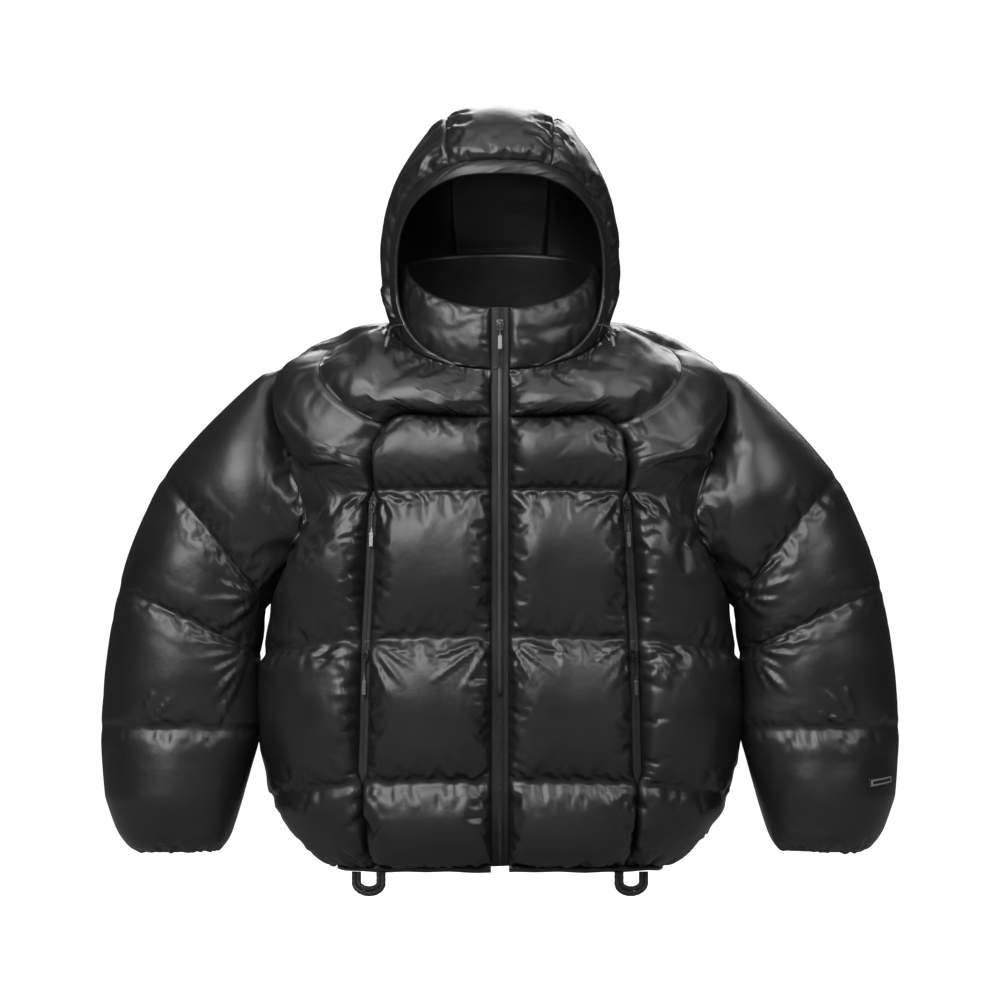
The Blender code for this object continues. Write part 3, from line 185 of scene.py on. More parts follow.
# Zips, patch and cords, in mm
TAPE_WALL = 1.5
CHAIN_WALL = 2.6
TOOTH = (2.9, 1.5, 1.1)  # across the tape, off it and along it
TOOTH_STEP = 1.55
GUARD_SPAN = (-2.9, 2.4)  # x of the smooth strip that covers the zip's coil
GUARD_ENDS = (-57.0, -464.0)
GUARD_WALL = 0.9
PATCH_POINTS = (13, 17)  # rows and columns of the patch
PATCH_ROW = 17
PATCH_COLUMNS = (1.05, 2.45)
PATCH_ROWS = (0.66, 0.86)
PATCH_SLANT = 0.12
PATCH_WALL = 0.9
PATCH_OFF = 0.25  # between the sleeve's cloth and the patch
HEM_CORD = 6.4
HEM_CORD_X = 161.0
HEM_CORD_HALVES = {"outer": 21.5, "inner": 15.2}
HEM_CORD_DROP = {"outer": 27.0, "inner": 20.7}
HEM_CORD_ROUND = {"outer": 0.62, "inner": 0.54}  # height of the loop's round end as a share of its half width
HOOD_CORD = 3.2
HOOD_CORD_ROUTE = (
    # x, y, z of the left cord, from the rim casing to its tip
    (120.3, -61.8, -1.3),
    (125, -65.5, -1.6),
    (130.5, -70.5, -2.5),
    (135.5, -77.5, -7),
    (138, -83, -16),
)
TIP_LENGTH = 15.0
TIP_WIDTHS = (5.6, 4.4)
TIP_SIDES = 20
RING_SIDES = (24, 8)  # round an eyelet and round its wire
EDGE_ROUND = 0.12  # on the metal pieces
FLAT_ANGLE, SHARP_ANGLE = 3, 30  # degrees
STITCH = (0.62, 0.62, 3.0)  # width, height and length
STITCH_STEP = 4.1
TAPE_STITCH_X = 9.6

# Studio, in metres
VIEW_WIDTH = 1.24
VIEW_MIDDLE_Z = -0.217
CAMERA_DISTANCE = 12.0
FLOOR_Z = -0.76
FLOOR_REACH = 40
WORLD_LIGHT = 0.05
FLOOR_GLOW = 1.1
LIGHT_TARGET = (0, 0, -0.2)
LIGHTS = (
    # name, place, width, height and power in watts
    ("key", (-1.15, -2.4, 1.65), 2.2, 2.4, 124),
    ("fill", (1.7, -2.2, 1.75), 1.4, 1.9, 42),
    ("top", (0, -0.5, 2.4), 2.4, 1.4, 16),
    ("back", (0.5, 2.7, 1.9), 2.6, 1.8, 70),
)

# The patch's sewn edge, in rows and columns
PATCH_SEW_IN = (2, 1)  # rows and columns of the patch between its edge and the sewn line
PATCH_SEW = (2, 1)  # rows and columns that the sewn line takes

# ---------------------------------------------------------------- the form, as on the frame


def unit(vectors):
    return vectors / np.linalg.norm(vectors, axis=-1, keepdims=True)


def run_length(line):
    """How far each point of a line is from its start."""
    return np.concatenate([[0], np.cumsum(np.linalg.norm(np.diff(line, axis=0), axis=-1))])


def even_baffle(steps):
    return (1 - np.cos(np.pi * np.arange(steps + 1) / steps)) / 2


def along_rows(rows, place):
    """A smooth curve through a table's rows, read at places that count the rows from 0."""
    rows = np.asarray(rows, float)
    place = np.clip(np.asarray(place, float), 0, len(rows) - 1)
    low = np.minimum(place.astype(int), len(rows) - 2)
    part = (place - low).reshape(place.shape + (1,) * (rows.ndim - 1))
    before, start, end, after = (rows[np.clip(low + step, 0, len(rows) - 1)] for step in (-1, 0, 1, 2))
    leaving, arriving = (end - before) / 2, (after - start) / 2
    rest = 1 - part
    return (
        start * (1 + 2 * part) * rest**2
        + leaving * part * rest**2
        + end * part**2 * (1 + 2 * rest)
        - arriving * part**2 * rest
    )


def ring_point(rings, turn, place):
    """A point of a ring: turn goes from the front centre (0) over the left side to the back centre (pi)."""
    side_z, front_z, back_z, half_width, front, back, square, _ = np.moveaxis(along_rows(rings, place), -1, 0)
    ahead, aside = np.cos(turn), np.sin(turn)
    depth = np.where(ahead > 0, front, back)
    end_z = np.where(ahead > 0, front_z, back_z)
    return np.stack(
        [
            half_width * np.sign(aside) * np.abs(aside) ** (2 / square),
            -depth * np.sign(ahead) * np.abs(ahead) ** (2 / square),
            side_z + (end_z - side_z) * np.abs(ahead) ** RING_DIP,
        ],
        -1,
    )


def ring_outward(rings, turn, place):
    step = 0.01
    across = ring_point(rings, turn + step, place) - ring_point(rings, turn - step, place)
    down = ring_point(rings, turn, place + step) - ring_point(rings, turn, place - step)
    return unit(np.cross(down, across))


def turn_at(x, place):
    ring = along_rows(BODY_RINGS, place)
    return np.arcsin(np.clip(x / ring[..., 3], 0, 1) ** (ring[..., 6] / 2))


def armhole_line(behind=False):
    """Turns and places down the armhole, which is a pointed oval as seen from the side."""
    down = np.array(ARMHOLE_STEPS)
    places = ARMHOLE_TOP + (UNDERARM - ARMHOLE_TOP) * down
    ring = along_rows(BODY_RINGS, places)
    depth, square = ring[:, 5 if behind else 4], ring[:, 6]
    half = ARMHOLE_DEPTH * np.abs(np.sin(np.pi * down**ARMHOLE_POINT))
    ahead = np.arccos((half / depth) ** (square / 2))
    return (math.pi - ahead if behind else ahead), places


def armhole_wall():
    return SEAM_WALL + (SHOULDER_WALL - SEAM_WALL) * (1 - np.array(ARMHOLE_STEPS)) ** 3


def armhole_reach():
    return SEAM_RISE + (VALLEY_RISE - SEAM_RISE) * np.array(ARMHOLE_STEPS) ** 0.7


def beside_armhole(rows, first):
    """For fine rows: their numbers down the armhole, which lie beside it, and how far its hollow reaches."""
    last = len(ARMHOLE_STEPS) - 1
    number = np.clip(rows - first, 0, last)
    beside = ((rows >= first) & (rows <= first + last))[:, None]
    return number, beside, along_rows(armhole_reach(), number)[:, None]


def round_armhole(down):
    return np.concatenate([down, down[1:-1][::-1]])


def shoulder_wall(places):
    return SEAM_WALL + (SHOULDER_WALL - SEAM_WALL) * np.clip(np.asarray(places) / ARMHOLE_TOP, 0, 1) ** 0.8


def diagonal_wall(share):
    return SEAM_WALL + (shoulder_wall(SHOULDER_MEET) - SEAM_WALL) * rise(share, 0.5)


def raised(thickness, edge, distance):
    """Thickens the wall beside an edge towards the thickness of the edge itself, with a soft join."""
    near = np.clip(1 - distance / VALLEY_RISE, 0, 1)
    beside = SEAM_WALL + (edge - SEAM_WALL) * near
    soft = 4.0 * np.log1p(np.exp(-np.abs(thickness - beside) / 4.0))
    soft = soft * np.clip(distance / 12, 0, 1) * np.clip((edge - SEAM_WALL) / 4, 0, 1)
    return np.maximum(thickness, beside) + soft


def side_edge_wall(places, count, rows):
    """Thickness down a panel's side edge: the shoulder seam, the armhole, then the side seam."""
    edge = np.concatenate([shoulder_wall(places), armhole_wall()])
    edge = np.concatenate([edge, np.full(count - len(edge), SEAM_WALL)])
    return np.interp(rows, np.arange(count), edge)[:, None]


def neck_edge(turn):
    aside, ahead = np.sin(turn), np.cos(turn)
    up = 0.6 * aside**4 + np.where(ahead > 0, 0.15, 0.17) * ahead
    return unit(np.stack([aside, -ahead, up], -1))


def body_wall(turn, place):
    """Inside points and outward directions of the body."""
    turn, place = np.broadcast_arrays(np.asarray(turn, float), np.asarray(place, float))
    outward = ring_outward(BODY_RINGS, turn, place)
    near = np.clip(1 - place / 0.35, 0, 1)[..., None]
    outward = unit(outward * (1 - near) + neck_edge(turn) * near)
    return ring_point(BODY_RINGS, turn, place), outward


def pocket_gap(place):
    in_zip = (place > FIRST_LINE + 0.01) & (place < THIRD_LINE - 0.01)
    at_end = (np.abs(place - FIRST_LINE) <= 0.01) | (np.abs(place - THIRD_LINE) <= 0.01)
    return np.where(in_zip, POCKET_GAP_HALF, np.where(at_end, POCKET_END_HALF, 0.0))


def lower_places():
    lines = ((FIRST_LINE, SECOND_LINE, 6), (SECOND_LINE, THIRD_LINE, 5), (THIRD_LINE, HEM, 5))
    return np.concatenate([top + (end - top) * even_baffle(steps)[1:] for top, end, steps in lines])


def rise(distance, reach=SEAM_RISE):
    near = np.clip(distance / reach, 0, 1)
    return np.sqrt(1 - (1 - near) ** 2)


def valley(distance, reach=VALLEY_RISE):
    near = np.clip(distance / reach, 0, 1)
    return near**1.4 * (2.4 - 1.4 * near)


def from_edges(points, *edges):
    """How full the filling is beside the given edges (axis, end): 0 at a seam and 1 well inside."""
    full = 1.0
    for axis, end in edges:
        full = full * rise(seam_distance(points, axis, end))
    return full


def eased(outward, edge, distance):
    near = np.clip(1 - distance / VALLEY_RISE, 0, 1)[..., None]
    return unit(outward + (edge - outward) * near)


def from_underarm(points):
    underarm = ring_point(BODY_RINGS, np.float64(math.pi / 2), np.float64(UNDERARM))
    return valley(np.linalg.norm(points - underarm, axis=-1), UNDERARM_RISE)


def seam_distance(points, axis, end):
    """How far each point of a grid is from the first (0) or last (-1) line of that axis, along the grid."""
    steps = np.linalg.norm(np.diff(points, axis=axis), axis=-1)
    if end:
        steps = np.flip(steps, axis)
    total = np.concatenate([np.zeros_like(np.take(steps, [0], axis)), np.cumsum(steps, axis)], axis)
    return np.flip(total, axis) if end else total


# ---------------------------------------------------------------- finer grids


class Grid:
    """A panel's plain inside, its outward directions, its wall's thickness and its quilted rows."""

    def __init__(self, inside, outward, thickness, lines, closed=False):
        self.inside = inside
        self.outward = outward
        self.thickness = thickness
        self.lines = lines
        self.closed = closed

    @property
    def outside(self):
        return self.inside + self.outward * self.thickness[..., None]


def index_of(steps_per_baffle, counts):
    """Coarse row numbers for finer rows that lie evenly within each baffle."""
    rows = [np.zeros(1)]
    start = 0
    for steps, count in zip(steps_per_baffle, counts):
        share = np.arange(1, count + 1) / count
        rows.append(start + steps * np.arccos(1 - 2 * share) / math.pi)
        start += steps
    return np.concatenate(rows)


def even_index(steps, count):
    return np.linspace(0, steps, count + 1)


def refined(grid, rows, columns):
    """A coarse grid read at finer row and column numbers."""
    grid = along_rows(grid, rows)
    return np.swapaxes(along_rows(np.swapaxes(grid, 0, 1), columns), 0, 1)


def evened(turns, places, count):
    """Column numbers at even distances along the middle of a panel."""
    middle = len(places) // 2
    points = ring_point(BODY_RINGS, turns[middle], places[middle])
    lengths = run_length(points)
    return np.interp(np.linspace(0, lengths[-1], count + 1), lengths, np.arange(len(lengths)))


def baffle_height(counts):
    """The height of the filling along fine rows: 0 at each quilting line and 1 halfway."""
    rows = [np.zeros(1)]
    for count in counts:
        share = np.arange(1, count + 1) / count
        rows.append(np.abs(np.sin(np.pi * share)) ** 0.7)
    return np.concatenate(rows)


def filling(counts, crease):
    return (QUILT_WALL - SEAM_WALL) + LOFT * (1 - crease * (1 - baffle_height(counts)[:, None]))


def lines_of(counts):
    """Fine rows on a quilting line between two baffles."""
    return list(np.cumsum(counts)[:-1])


def side_crease(turn):
    return 1 - 0.75 * np.abs(np.sin(turn)) ** 10


# ---------------------------------------------------------------- fronts and back


def corner_shares():
    straight = 1 - CORNER_RADIUS / (BODY_RINGS[ARMHOLE_TOP][7] - ZIP_HALF)
    angles = np.linspace(0, math.pi / 2, CORNER_STEPS + 1)
    flat = np.linspace(0, straight, len(NECK_TURNS) + 1)[:-1]
    shares = np.concatenate([flat, straight + (1 - straight) * np.sin(angles)])
    drops = np.concatenate([np.zeros(len(flat)), CORNER_RADIUS * (1 - np.cos(angles))])
    return shares, drops


def centre_front_places():
    _, drops = corner_shares()
    height = BODY_RINGS[ARMHOLE_TOP][1] - BODY_RINGS[FIRST_LINE][1]
    tops = ARMHOLE_TOP + drops * (FIRST_LINE - ARMHOLE_TOP) / height
    first = tops + (FIRST_LINE - tops) * even_baffle(5)[:, None]
    lower = np.repeat(lower_places()[:, None], len(drops), 1)
    return np.concatenate([first, lower])


FRONT_COUNTS = (18, 34, 34, 20)
CENTRE_COLUMNS = 30


def centre_front():
    places = centre_front_places()
    shares, _ = corner_shares()
    edge_x = along_rows(BODY_RINGS, places)[..., 7] - pocket_gap(places)
    turns = turn_at(ZIP_HALF + shares * (edge_x - ZIP_HALF), places)
    rows, columns = index_of((5, 6, 5, 5), FRONT_COUNTS), evened(turns, places, CENTRE_COLUMNS)
    inside, outward = body_wall(refined(turns, rows, columns), refined(places, rows, columns))
    fullness = from_edges(inside, (1, 0), (1, -1), (0, 0), (0, -1))
    thickness = SEAM_WALL + fullness * filling(FRONT_COUNTS, 1.0)
    return Grid(inside, outward, thickness, lines_of(FRONT_COUNTS))


def panel_seam(start):
    places = centre_front_places()
    shares, _ = corner_shares()
    top_places = places[0, start:]
    top_x = ZIP_HALF + shares[start:] * (BODY_RINGS[ARMHOLE_TOP][7] - ZIP_HALF)
    top_x[-1] = along_rows(BODY_RINGS, top_places[-1])[7]
    side_places = places[1:, -1]
    side_x = along_rows(BODY_RINGS, side_places)[:, 7] + pocket_gap(side_places)
    seam_places = np.concatenate([top_places, side_places])
    return turn_at(np.concatenate([top_x, side_x]), seam_places), seam_places


def diagonal_column():
    return len(NECK_TURNS) + DIAGONAL_STEP


def neck_turns():
    return np.concatenate([[float(turn_at(ZIP_HALF, np.float64(NECK)))], np.radians(NECK_TURNS)])


YOKE_COUNTS = (24,)
YOKE_COLUMNS = 44


def yoke():
    places = centre_front_places()
    shares, _ = corner_shares()
    last = diagonal_column()
    low_places = places[0, : last + 1]
    low_turns = turn_at(ZIP_HALF + shares[: last + 1] * (BODY_RINGS[ARMHOLE_TOP][7] - ZIP_HALF), low_places)
    high_turns = np.concatenate([neck_turns(), [math.pi / 2] * DIAGONAL_STEP])
    shoulder = np.linspace(0, SHOULDER_MEET, DIAGONAL_STEP + 1)[1:]
    high_places = np.concatenate([np.zeros(len(NECK_TURNS) + 1), shoulder])
    share = np.linspace(0, 1, YOKE_COUNTS[0] + 1)[:, None]
    columns = even_index(last, YOKE_COLUMNS)
    high_turns, low_turns = along_rows(high_turns, columns), along_rows(low_turns, columns)
    high_places, low_places = (np.maximum(along_rows(p, columns), 0) for p in (high_places, low_places))
    turns = high_turns + (low_turns - high_turns) * share
    inside, outward = body_wall(turns, high_places + (low_places - high_places) * share)
    fullness = from_edges(inside, (1, 0), (1, -1))
    fullness = fullness * valley(seam_distance(inside, 0, 0)) * rise(seam_distance(inside, 0, -1))
    thickness = SEAM_WALL + fullness * filling(YOKE_COUNTS, 0.4)
    thickness = raised(thickness, shoulder_wall(high_places)[None], seam_distance(inside, 0, 0))
    thickness = raised(thickness, diagonal_wall(1 - share), seam_distance(inside, 1, -1))
    thickness[-1] = SEAM_WALL
    return Grid(inside, outward, thickness, [])


def side_edge(inner_places):
    lead = np.array([SHOULDER_MEET, (SHOULDER_MEET + ARMHOLE_TOP) / 2])
    turns, armhole = armhole_line()
    below = inner_places[len(lead) + len(armhole) :]
    below = np.where(below < SECOND_LINE - 0.01, SECOND_LINE - 0.3, below)
    side = math.pi / 2
    turns = np.concatenate([[side] * len(lead), turns, [side] * len(below)])
    return turns, np.concatenate([lead, armhole, below])


SIDE_COUNTS = (28, 34, 34, 20)
SIDE_COLUMNS = 26


def side_front():
    start = diagonal_column()
    inner_turns, inner_places = panel_seam(start)
    outer_turns, outer_places = side_edge(inner_places)
    steps = (CORNER_STEPS - DIAGONAL_STEP + 5, 6, 5, 5)
    rows = index_of(steps, SIDE_COUNTS)
    share = np.linspace(0, 1, SIDE_COLUMNS + 1)
    inner_turns, outer_turns = along_rows(inner_turns, rows), along_rows(outer_turns, rows)
    inner_places, outer_places = along_rows(inner_places, rows), along_rows(outer_places, rows)
    turns = inner_turns[:, None] + (outer_turns - inner_turns)[:, None] * share
    places = inner_places[:, None] + (outer_places - inner_places)[:, None] * share
    inside, outward = body_wall(turns, places)
    to_side = seam_distance(inside, 1, -1)
    number, at_armhole, reach = beside_armhole(rows, FIRST_ARMHOLE_ROW)
    edge_ways = along_rows(armhole_edge()[: len(ARMHOLE_STEPS)], number)[:, None]
    outward = np.where(at_armhole[..., None], eased(outward, edge_ways, to_side), outward)
    from_side = np.where(at_armhole, valley(to_side, reach), rise(to_side))
    fullness = from_side * rise(seam_distance(inside, 1, 0)) * from_underarm(inside)
    fullness = fullness * rise(seam_distance(inside, 0, 0)) * rise(seam_distance(inside, 0, -1))
    thickness = SEAM_WALL + fullness * filling(SIDE_COUNTS, side_crease(turns))
    lead = [SHOULDER_MEET, (SHOULDER_MEET + ARMHOLE_TOP) / 2]
    thickness = raised(thickness, side_edge_wall(lead, sum(steps) + 1, rows), to_side)
    thickness = raised(thickness, diagonal_wall(share)[None], seam_distance(inside, 0, 0))
    thickness[:, 0] = SEAM_WALL
    return Grid(inside, outward, thickness, lines_of(SIDE_COUNTS))


BACK_COUNTS = (14, 26, 34, 34, 20)
BACK_COLUMNS = 110


def back():
    shoulder = np.array([0, SHOULDER_MEET / 2, SHOULDER_MEET, (SHOULDER_MEET + ARMHOLE_TOP) / 2])
    arm_turns, armhole = armhole_line(behind=True)
    below = lower_places()[4:]
    below[0] = SECOND_LINE - 0.3
    edge = np.concatenate([[math.pi / 2] * len(shoulder), arm_turns, [math.pi / 2] * len(below)])
    places = np.concatenate([shoulder, armhole, below])
    steps = (4, 5, 6, 5, 5)
    rows = index_of(steps, BACK_COUNTS)
    share = np.linspace(0, 1, BACK_COLUMNS // 2 + 1)
    edge, places = along_rows(edge, rows), along_rows(places, rows)
    half = edge[:, None] + (math.pi - edge)[:, None] * share
    turns = np.concatenate([half, 2 * math.pi - half[:, -2::-1]], 1)
    inside, outward = body_wall(turns, np.repeat(places[:, None], turns.shape[1], 1))
    number, at_armhole, reach = beside_armhole(rows, FIRST_ARMHOLE_ROW + 2)
    ways = armhole_edge()
    last = len(ARMHOLE_STEPS) - 1
    behind = np.concatenate([ways[:1], ways[:last:-1], ways[last : last + 1]])
    behind = along_rows(behind, number)[:, None]
    to_left, to_right = seam_distance(inside, 1, 0), seam_distance(inside, 1, -1)
    mirrored = behind * TO_RIGHT
    outward = np.where(at_armhole[..., None], eased(outward, behind, to_left), outward)
    outward = np.where(at_armhole[..., None], eased(outward, mirrored, to_right), outward)
    from_left, from_right = (np.where(at_armhole, valley(to, reach), rise(to)) for to in (to_left, to_right))
    fullness = from_left * from_right * valley(seam_distance(inside, 0, 0))
    fullness = fullness * rise(seam_distance(inside, 0, -1))
    fullness = fullness * from_underarm(inside) * from_underarm(inside * TO_RIGHT)
    thickness = SEAM_WALL + fullness * filling(BACK_COUNTS, side_crease(turns))
    side_wall = side_edge_wall(shoulder, sum(steps) + 1, rows)
    thickness = raised(raised(thickness, side_wall, to_left), side_wall, to_right)
    return Grid(inside, outward, thickness, lines_of(BACK_COUNTS))


# ---------------------------------------------------------------- sleeves


def armhole_loop():
    front, behind = armhole_line(), armhole_line(behind=True)
    points = [ring_point(BODY_RINGS, *front), ring_point(BODY_RINGS, *behind)[1:-1][::-1]]
    outward = [ring_outward(BODY_RINGS, *front), ring_outward(BODY_RINGS, *behind)[1:-1][::-1]]
    return np.concatenate(points), np.concatenate(outward)


def sleeve_rings():
    loop, _ = armhole_loop()
    angle = np.linspace(0, 2 * math.pi, len(loop), endpoint=False)
    rings = [loop]
    for outer_x, outer_z, inner_x, inner_z, half_depth, middle_y in SLEEVE_RINGS:
        middle = np.array([(outer_x + inner_x) / 2, middle_y, (outer_z + inner_z) / 2])
        out = np.array([(outer_x - inner_x) / 2, 0, (outer_z - inner_z) / 2])
        depth = np.array([0, half_depth, 0])
        rings.append(middle + np.cos(angle)[:, None] * out - np.sin(angle)[:, None] * depth)
    return np.array(rings)


def ring_normals(points):
    around = np.roll(points, -1, 1) - np.roll(points, 1, 1)
    along = np.gradient(points, axis=0)
    outward = unit(np.cross(around, along))
    return outward * np.sign(((points - points.mean(1, keepdims=True)) * outward).sum(-1).mean())


def sleeve_points():
    baffles = zip(SLEEVE_LINES, SLEEVE_LINES[1:], SLEEVE_STEPS)
    rows = [low + (high - low) * even_baffle(n) for low, high, n in baffles]
    places = np.concatenate([rows[0]] + [row[1:] for row in rows[1:]])
    return along_rows(sleeve_rings(), places)


def armhole_edge():
    _, body_out = armhole_loop()
    return unit(body_out + ring_normals(sleeve_points())[0])


SLEEVE_COUNTS = (24, 24, 24, 28)
SLEEVE_COLUMNS = 90


def round_index(count, steps):
    """Column numbers round a closed grid that has count coarse columns."""
    return np.arange(steps) * count / steps


def along_round(grid, places):
    """As along_rows, for rows that close on themselves."""
    padded = np.concatenate([grid[-2:], grid, grid[:3]])
    return along_rows(padded, np.asarray(places) + 2)


def sleeve():
    coarse = sleeve_points()
    count = coarse.shape[1]
    rows = index_of(SLEEVE_STEPS, SLEEVE_COUNTS)
    columns = round_index(count, SLEEVE_COLUMNS)
    points = np.swapaxes(along_round(np.swapaxes(along_rows(coarse, rows), 0, 1), columns), 0, 1)
    edge_ways = unit(along_round(armhole_edge(), columns))
    outward = eased(ring_normals(points), edge_ways, seam_distance(points, 0, 0))
    angle = columns / count * 2 * math.pi
    facing_body = ((1 - np.cos(angle)) / 2) ** 1.5
    side_share = 1 - (1 - INNER_LOFT) * facing_body
    crease = SLEEVE_CREASE * (0.12 + 0.88 * np.sin(angle) ** 2)
    from_armhole = seam_distance(points, 0, 0)
    reach = along_round(round_armhole(armhole_reach()), columns)
    fullness = valley(from_armhole, reach) * rise(seam_distance(points, 0, -1)) * from_underarm(points)
    thickness = SEAM_WALL + fullness * filling(SLEEVE_COUNTS, crease) * side_share
    thickness = raised(thickness, along_round(round_armhole(armhole_wall()), columns), from_armhole)
    return Grid(points, outward, thickness, lines_of(SLEEVE_COUNTS), closed=True)


# ---------------------------------------------------------------- hood and collar


def neck_shares(offset):
    depth = np.maximum(-offset[..., 2], 0)
    side, front, back_share = (
        1 - share * (depth / at) ** 1.5 for share, at in (NECK_PULL_SIDE, NECK_PULL_FRONT, NECK_PULL_BACK)
    )
    return np.stack([side, np.where(offset[..., 1] < 0, front, back_share), np.ones(depth.shape)], -1)


def hood_half_sizes(offset):
    depth = np.where(offset[..., 1] < 0, HOOD_FRONT, HOOD_BACK)
    height = np.where(offset[..., 2] > 0, HOOD_UP, HOOD_DOWN)
    return np.stack([np.full(depth.shape, HOOD_HALF_WIDTH), depth, height], -1)


def hood_measure(offset):
    share = np.abs(offset / hood_half_sizes(offset)) ** HOOD_SQUARENESS
    return share.sum(-1) ** (1 / HOOD_SQUARENESS)


def opened(points):
    offset = points - np.array([0, 0, HOOD_CENTRE_Z])
    return offset / neck_shares(offset)


def drawn_in(offset):
    return offset * neck_shares(offset) + np.array([0, 0, HOOD_CENTRE_Z])


def hood_outward(points):
    steps = np.eye(3) * 0.5
    changes = [hood_measure(opened(points + step)) - hood_measure(opened(points - step)) for step in steps]
    return unit(np.stack(changes, -1))


def face_point(angle, widen=0.0, widen_side=0.0):
    power = 2 / FACE_SQUARENESS
    upward = np.cos(angle)
    half_height = np.where(upward > 0, FACE_UP + widen, FACE_DOWN)
    x = (FACE_HALF_WIDTH + widen_side) * np.abs(np.sin(angle)) ** power
    z = FACE_Z + half_height * np.sign(upward) * np.abs(upward) ** power
    offset = np.stack([x, np.full(x.shape, -1.0), z - HOOD_CENTRE_Z], -1)
    shares = neck_shares(offset)
    flat = (offset / shares) * np.array([1, 0, 1])
    left = 1 - hood_measure(flat) ** HOOD_SQUARENESS
    y = -HOOD_FRONT * np.clip(left, 0, 1) ** (1 / HOOD_SQUARENESS) * shares[..., 1]
    return np.stack([x, y, z], -1)


def strip_point(turn, half_width):
    way = np.stack([np.zeros(turn.shape), -np.cos(turn), np.sin(turn)], -1)
    left = 1 - (half_width / HOOD_HALF_WIDTH) ** HOOD_SQUARENESS
    radius = left ** (1 / HOOD_SQUARENESS) / hood_measure(way)
    return drawn_in(way * radius[..., None] + np.stack([half_width, 0 * turn, 0 * turn], -1))


def neck_line():
    turns = np.concatenate([neck_turns(), math.pi / 2 + np.radians(BACK_TURNS[1:])])
    return ring_point(BODY_RINGS, turns, np.zeros(len(turns))), turns


def rim_top_angle():
    return math.asin((STRIP_HALF_WIDTH / (FACE_HALF_WIDTH + RIM_SIDE_WIDTH)) ** (FACE_SQUARENESS / 2))


def over_hood(foot, top, front, behind):
    edges = [opened(edge) for edge in (foot, top, front, behind)]
    ways = [unit(edge) for edge in edges]
    stretch = [hood_measure(edge) for edge in edges]

    def fill(low, high, near, far):
        u = np.linspace(0, 1, len(low)).reshape((1, -1) + (1,) * (low.ndim - 1))
        v = np.linspace(0, 1, len(near)).reshape((-1, 1) + (1,) * (low.ndim - 1))
        rows = low[None] * (1 - v) + high[None] * v
        columns = near[:, None] * (1 - u) + far[:, None] * u
        corners = (low[0] * (1 - u) + low[-1] * u) * (1 - v) + (high[0] * (1 - u) + high[-1] * u) * v
        return rows + columns - corners

    way = unit(fill(*ways))
    return drawn_in(way * (fill(*stretch) / hood_measure(way))[..., None])


def hood_side_points():
    neck, _ = neck_line()
    foot = neck[SIDE_CORNER : len(NECK_TURNS) + STRIP_TURN + 1]
    upward = np.linspace(0, 1, HOOD_ROWS + 1)
    angles = rim_top_angle() + (math.radians(132) - rim_top_angle()) * (1 - upward)
    rim = face_point(angles, RIM_WIDTH, RIM_SIDE_WIDTH)
    rim[0] = foot[0]
    rim_offset, foot_offset = opened(rim[-1]), opened(foot[-1])
    rim_turn = math.atan2(rim_offset[2], -rim_offset[1])
    foot_turn = math.atan2(foot_offset[2], -foot_offset[1]) % (2 * math.pi)
    corner = math.radians(STRIP_CORNER_TURN)
    over = rim_turn + (corner - rim_turn) * np.linspace(0, 1, len(foot))
    top = strip_point(over, np.full(len(foot), STRIP_HALF_WIDTH))
    down = foot_turn + (corner - foot_turn) * upward
    behind = strip_point(down, foot[-1, 0] + (STRIP_HALF_WIDTH - foot[-1, 0]) * upward)
    top[0], behind[0] = rim[-1], foot[-1]
    return over_hood(foot, top, rim, behind)


def hood_thickness(points, rim, neck, strip):
    firm = np.ones(points.shape[:2])
    for edge in rim:
        firm = firm * rise(seam_distance(points, *edge), 24)
    for edge in neck:
        firm = firm * valley(seam_distance(points, *edge))
    full = np.ones(points.shape[:2])
    for edge in strip:
        full = full * rise(seam_distance(points, *edge), 30)
    return SEAM_WALL + firm * (STRIP_WALL - SEAM_WALL + HOOD_LOFT * full)


def hood_side():
    coarse = hood_side_points()
    outward = hood_outward(coarse)
    _, turns = neck_line()
    outward[0] = neck_edge(turns[SIDE_CORNER : len(NECK_TURNS) + STRIP_TURN + 1])
    rows, columns = even_index(coarse.shape[0] - 1, 44), even_index(coarse.shape[1] - 1, 40)
    points, outward = refined(coarse, rows, columns), unit(refined(outward, rows, columns))
    thickness = hood_thickness(points, rim=[(1, 0)], neck=[(0, 0)], strip=[(0, -1), (1, -1)])
    return Grid(points, outward, thickness, [])


def rim_top_points():
    points = face_point(rim_top_angle() * np.array([1, 0.5, 0]), RIM_WIDTH, RIM_SIDE_WIDTH)
    points[0] = hood_side_points()[-1, 0]
    return points


def with_mirror(half, axis=0):
    rest = np.flip(half, axis)[1:] if axis == 0 else np.flip(half, axis)[:, 1:]
    return np.concatenate([half, rest * TO_RIGHT], axis)


def hood_centre():
    side = hood_side_points()
    seam = np.concatenate([side[-1], side[::-1][1:, -1]])
    neck, turns = neck_line()
    front, behind = with_mirror(rim_top_points()), with_mirror(neck[-3:])
    coarse = over_hood(front, behind, seam, seam * TO_RIGHT)
    flat = np.sin(np.pi * np.linspace(0, 1, len(coarse)))[:, None] * np.sin(np.pi * np.linspace(0, 1, 5))
    coarse = drawn_in(opened(coarse) * (1 - STRIP_FLATNESS * flat)[..., None])
    outward = hood_outward(coarse)
    outward[-1] = with_mirror(neck_edge(turns[-3:]))
    rows, columns = even_index(coarse.shape[0] - 1, 80), even_index(coarse.shape[1] - 1, 26)
    points, outward = refined(coarse, rows, columns), unit(refined(outward, rows, columns))
    thickness = hood_thickness(points, rim=[(0, 0)], neck=[(0, -1)], strip=[(1, 0), (1, -1)])
    return Grid(points, outward, thickness, [])


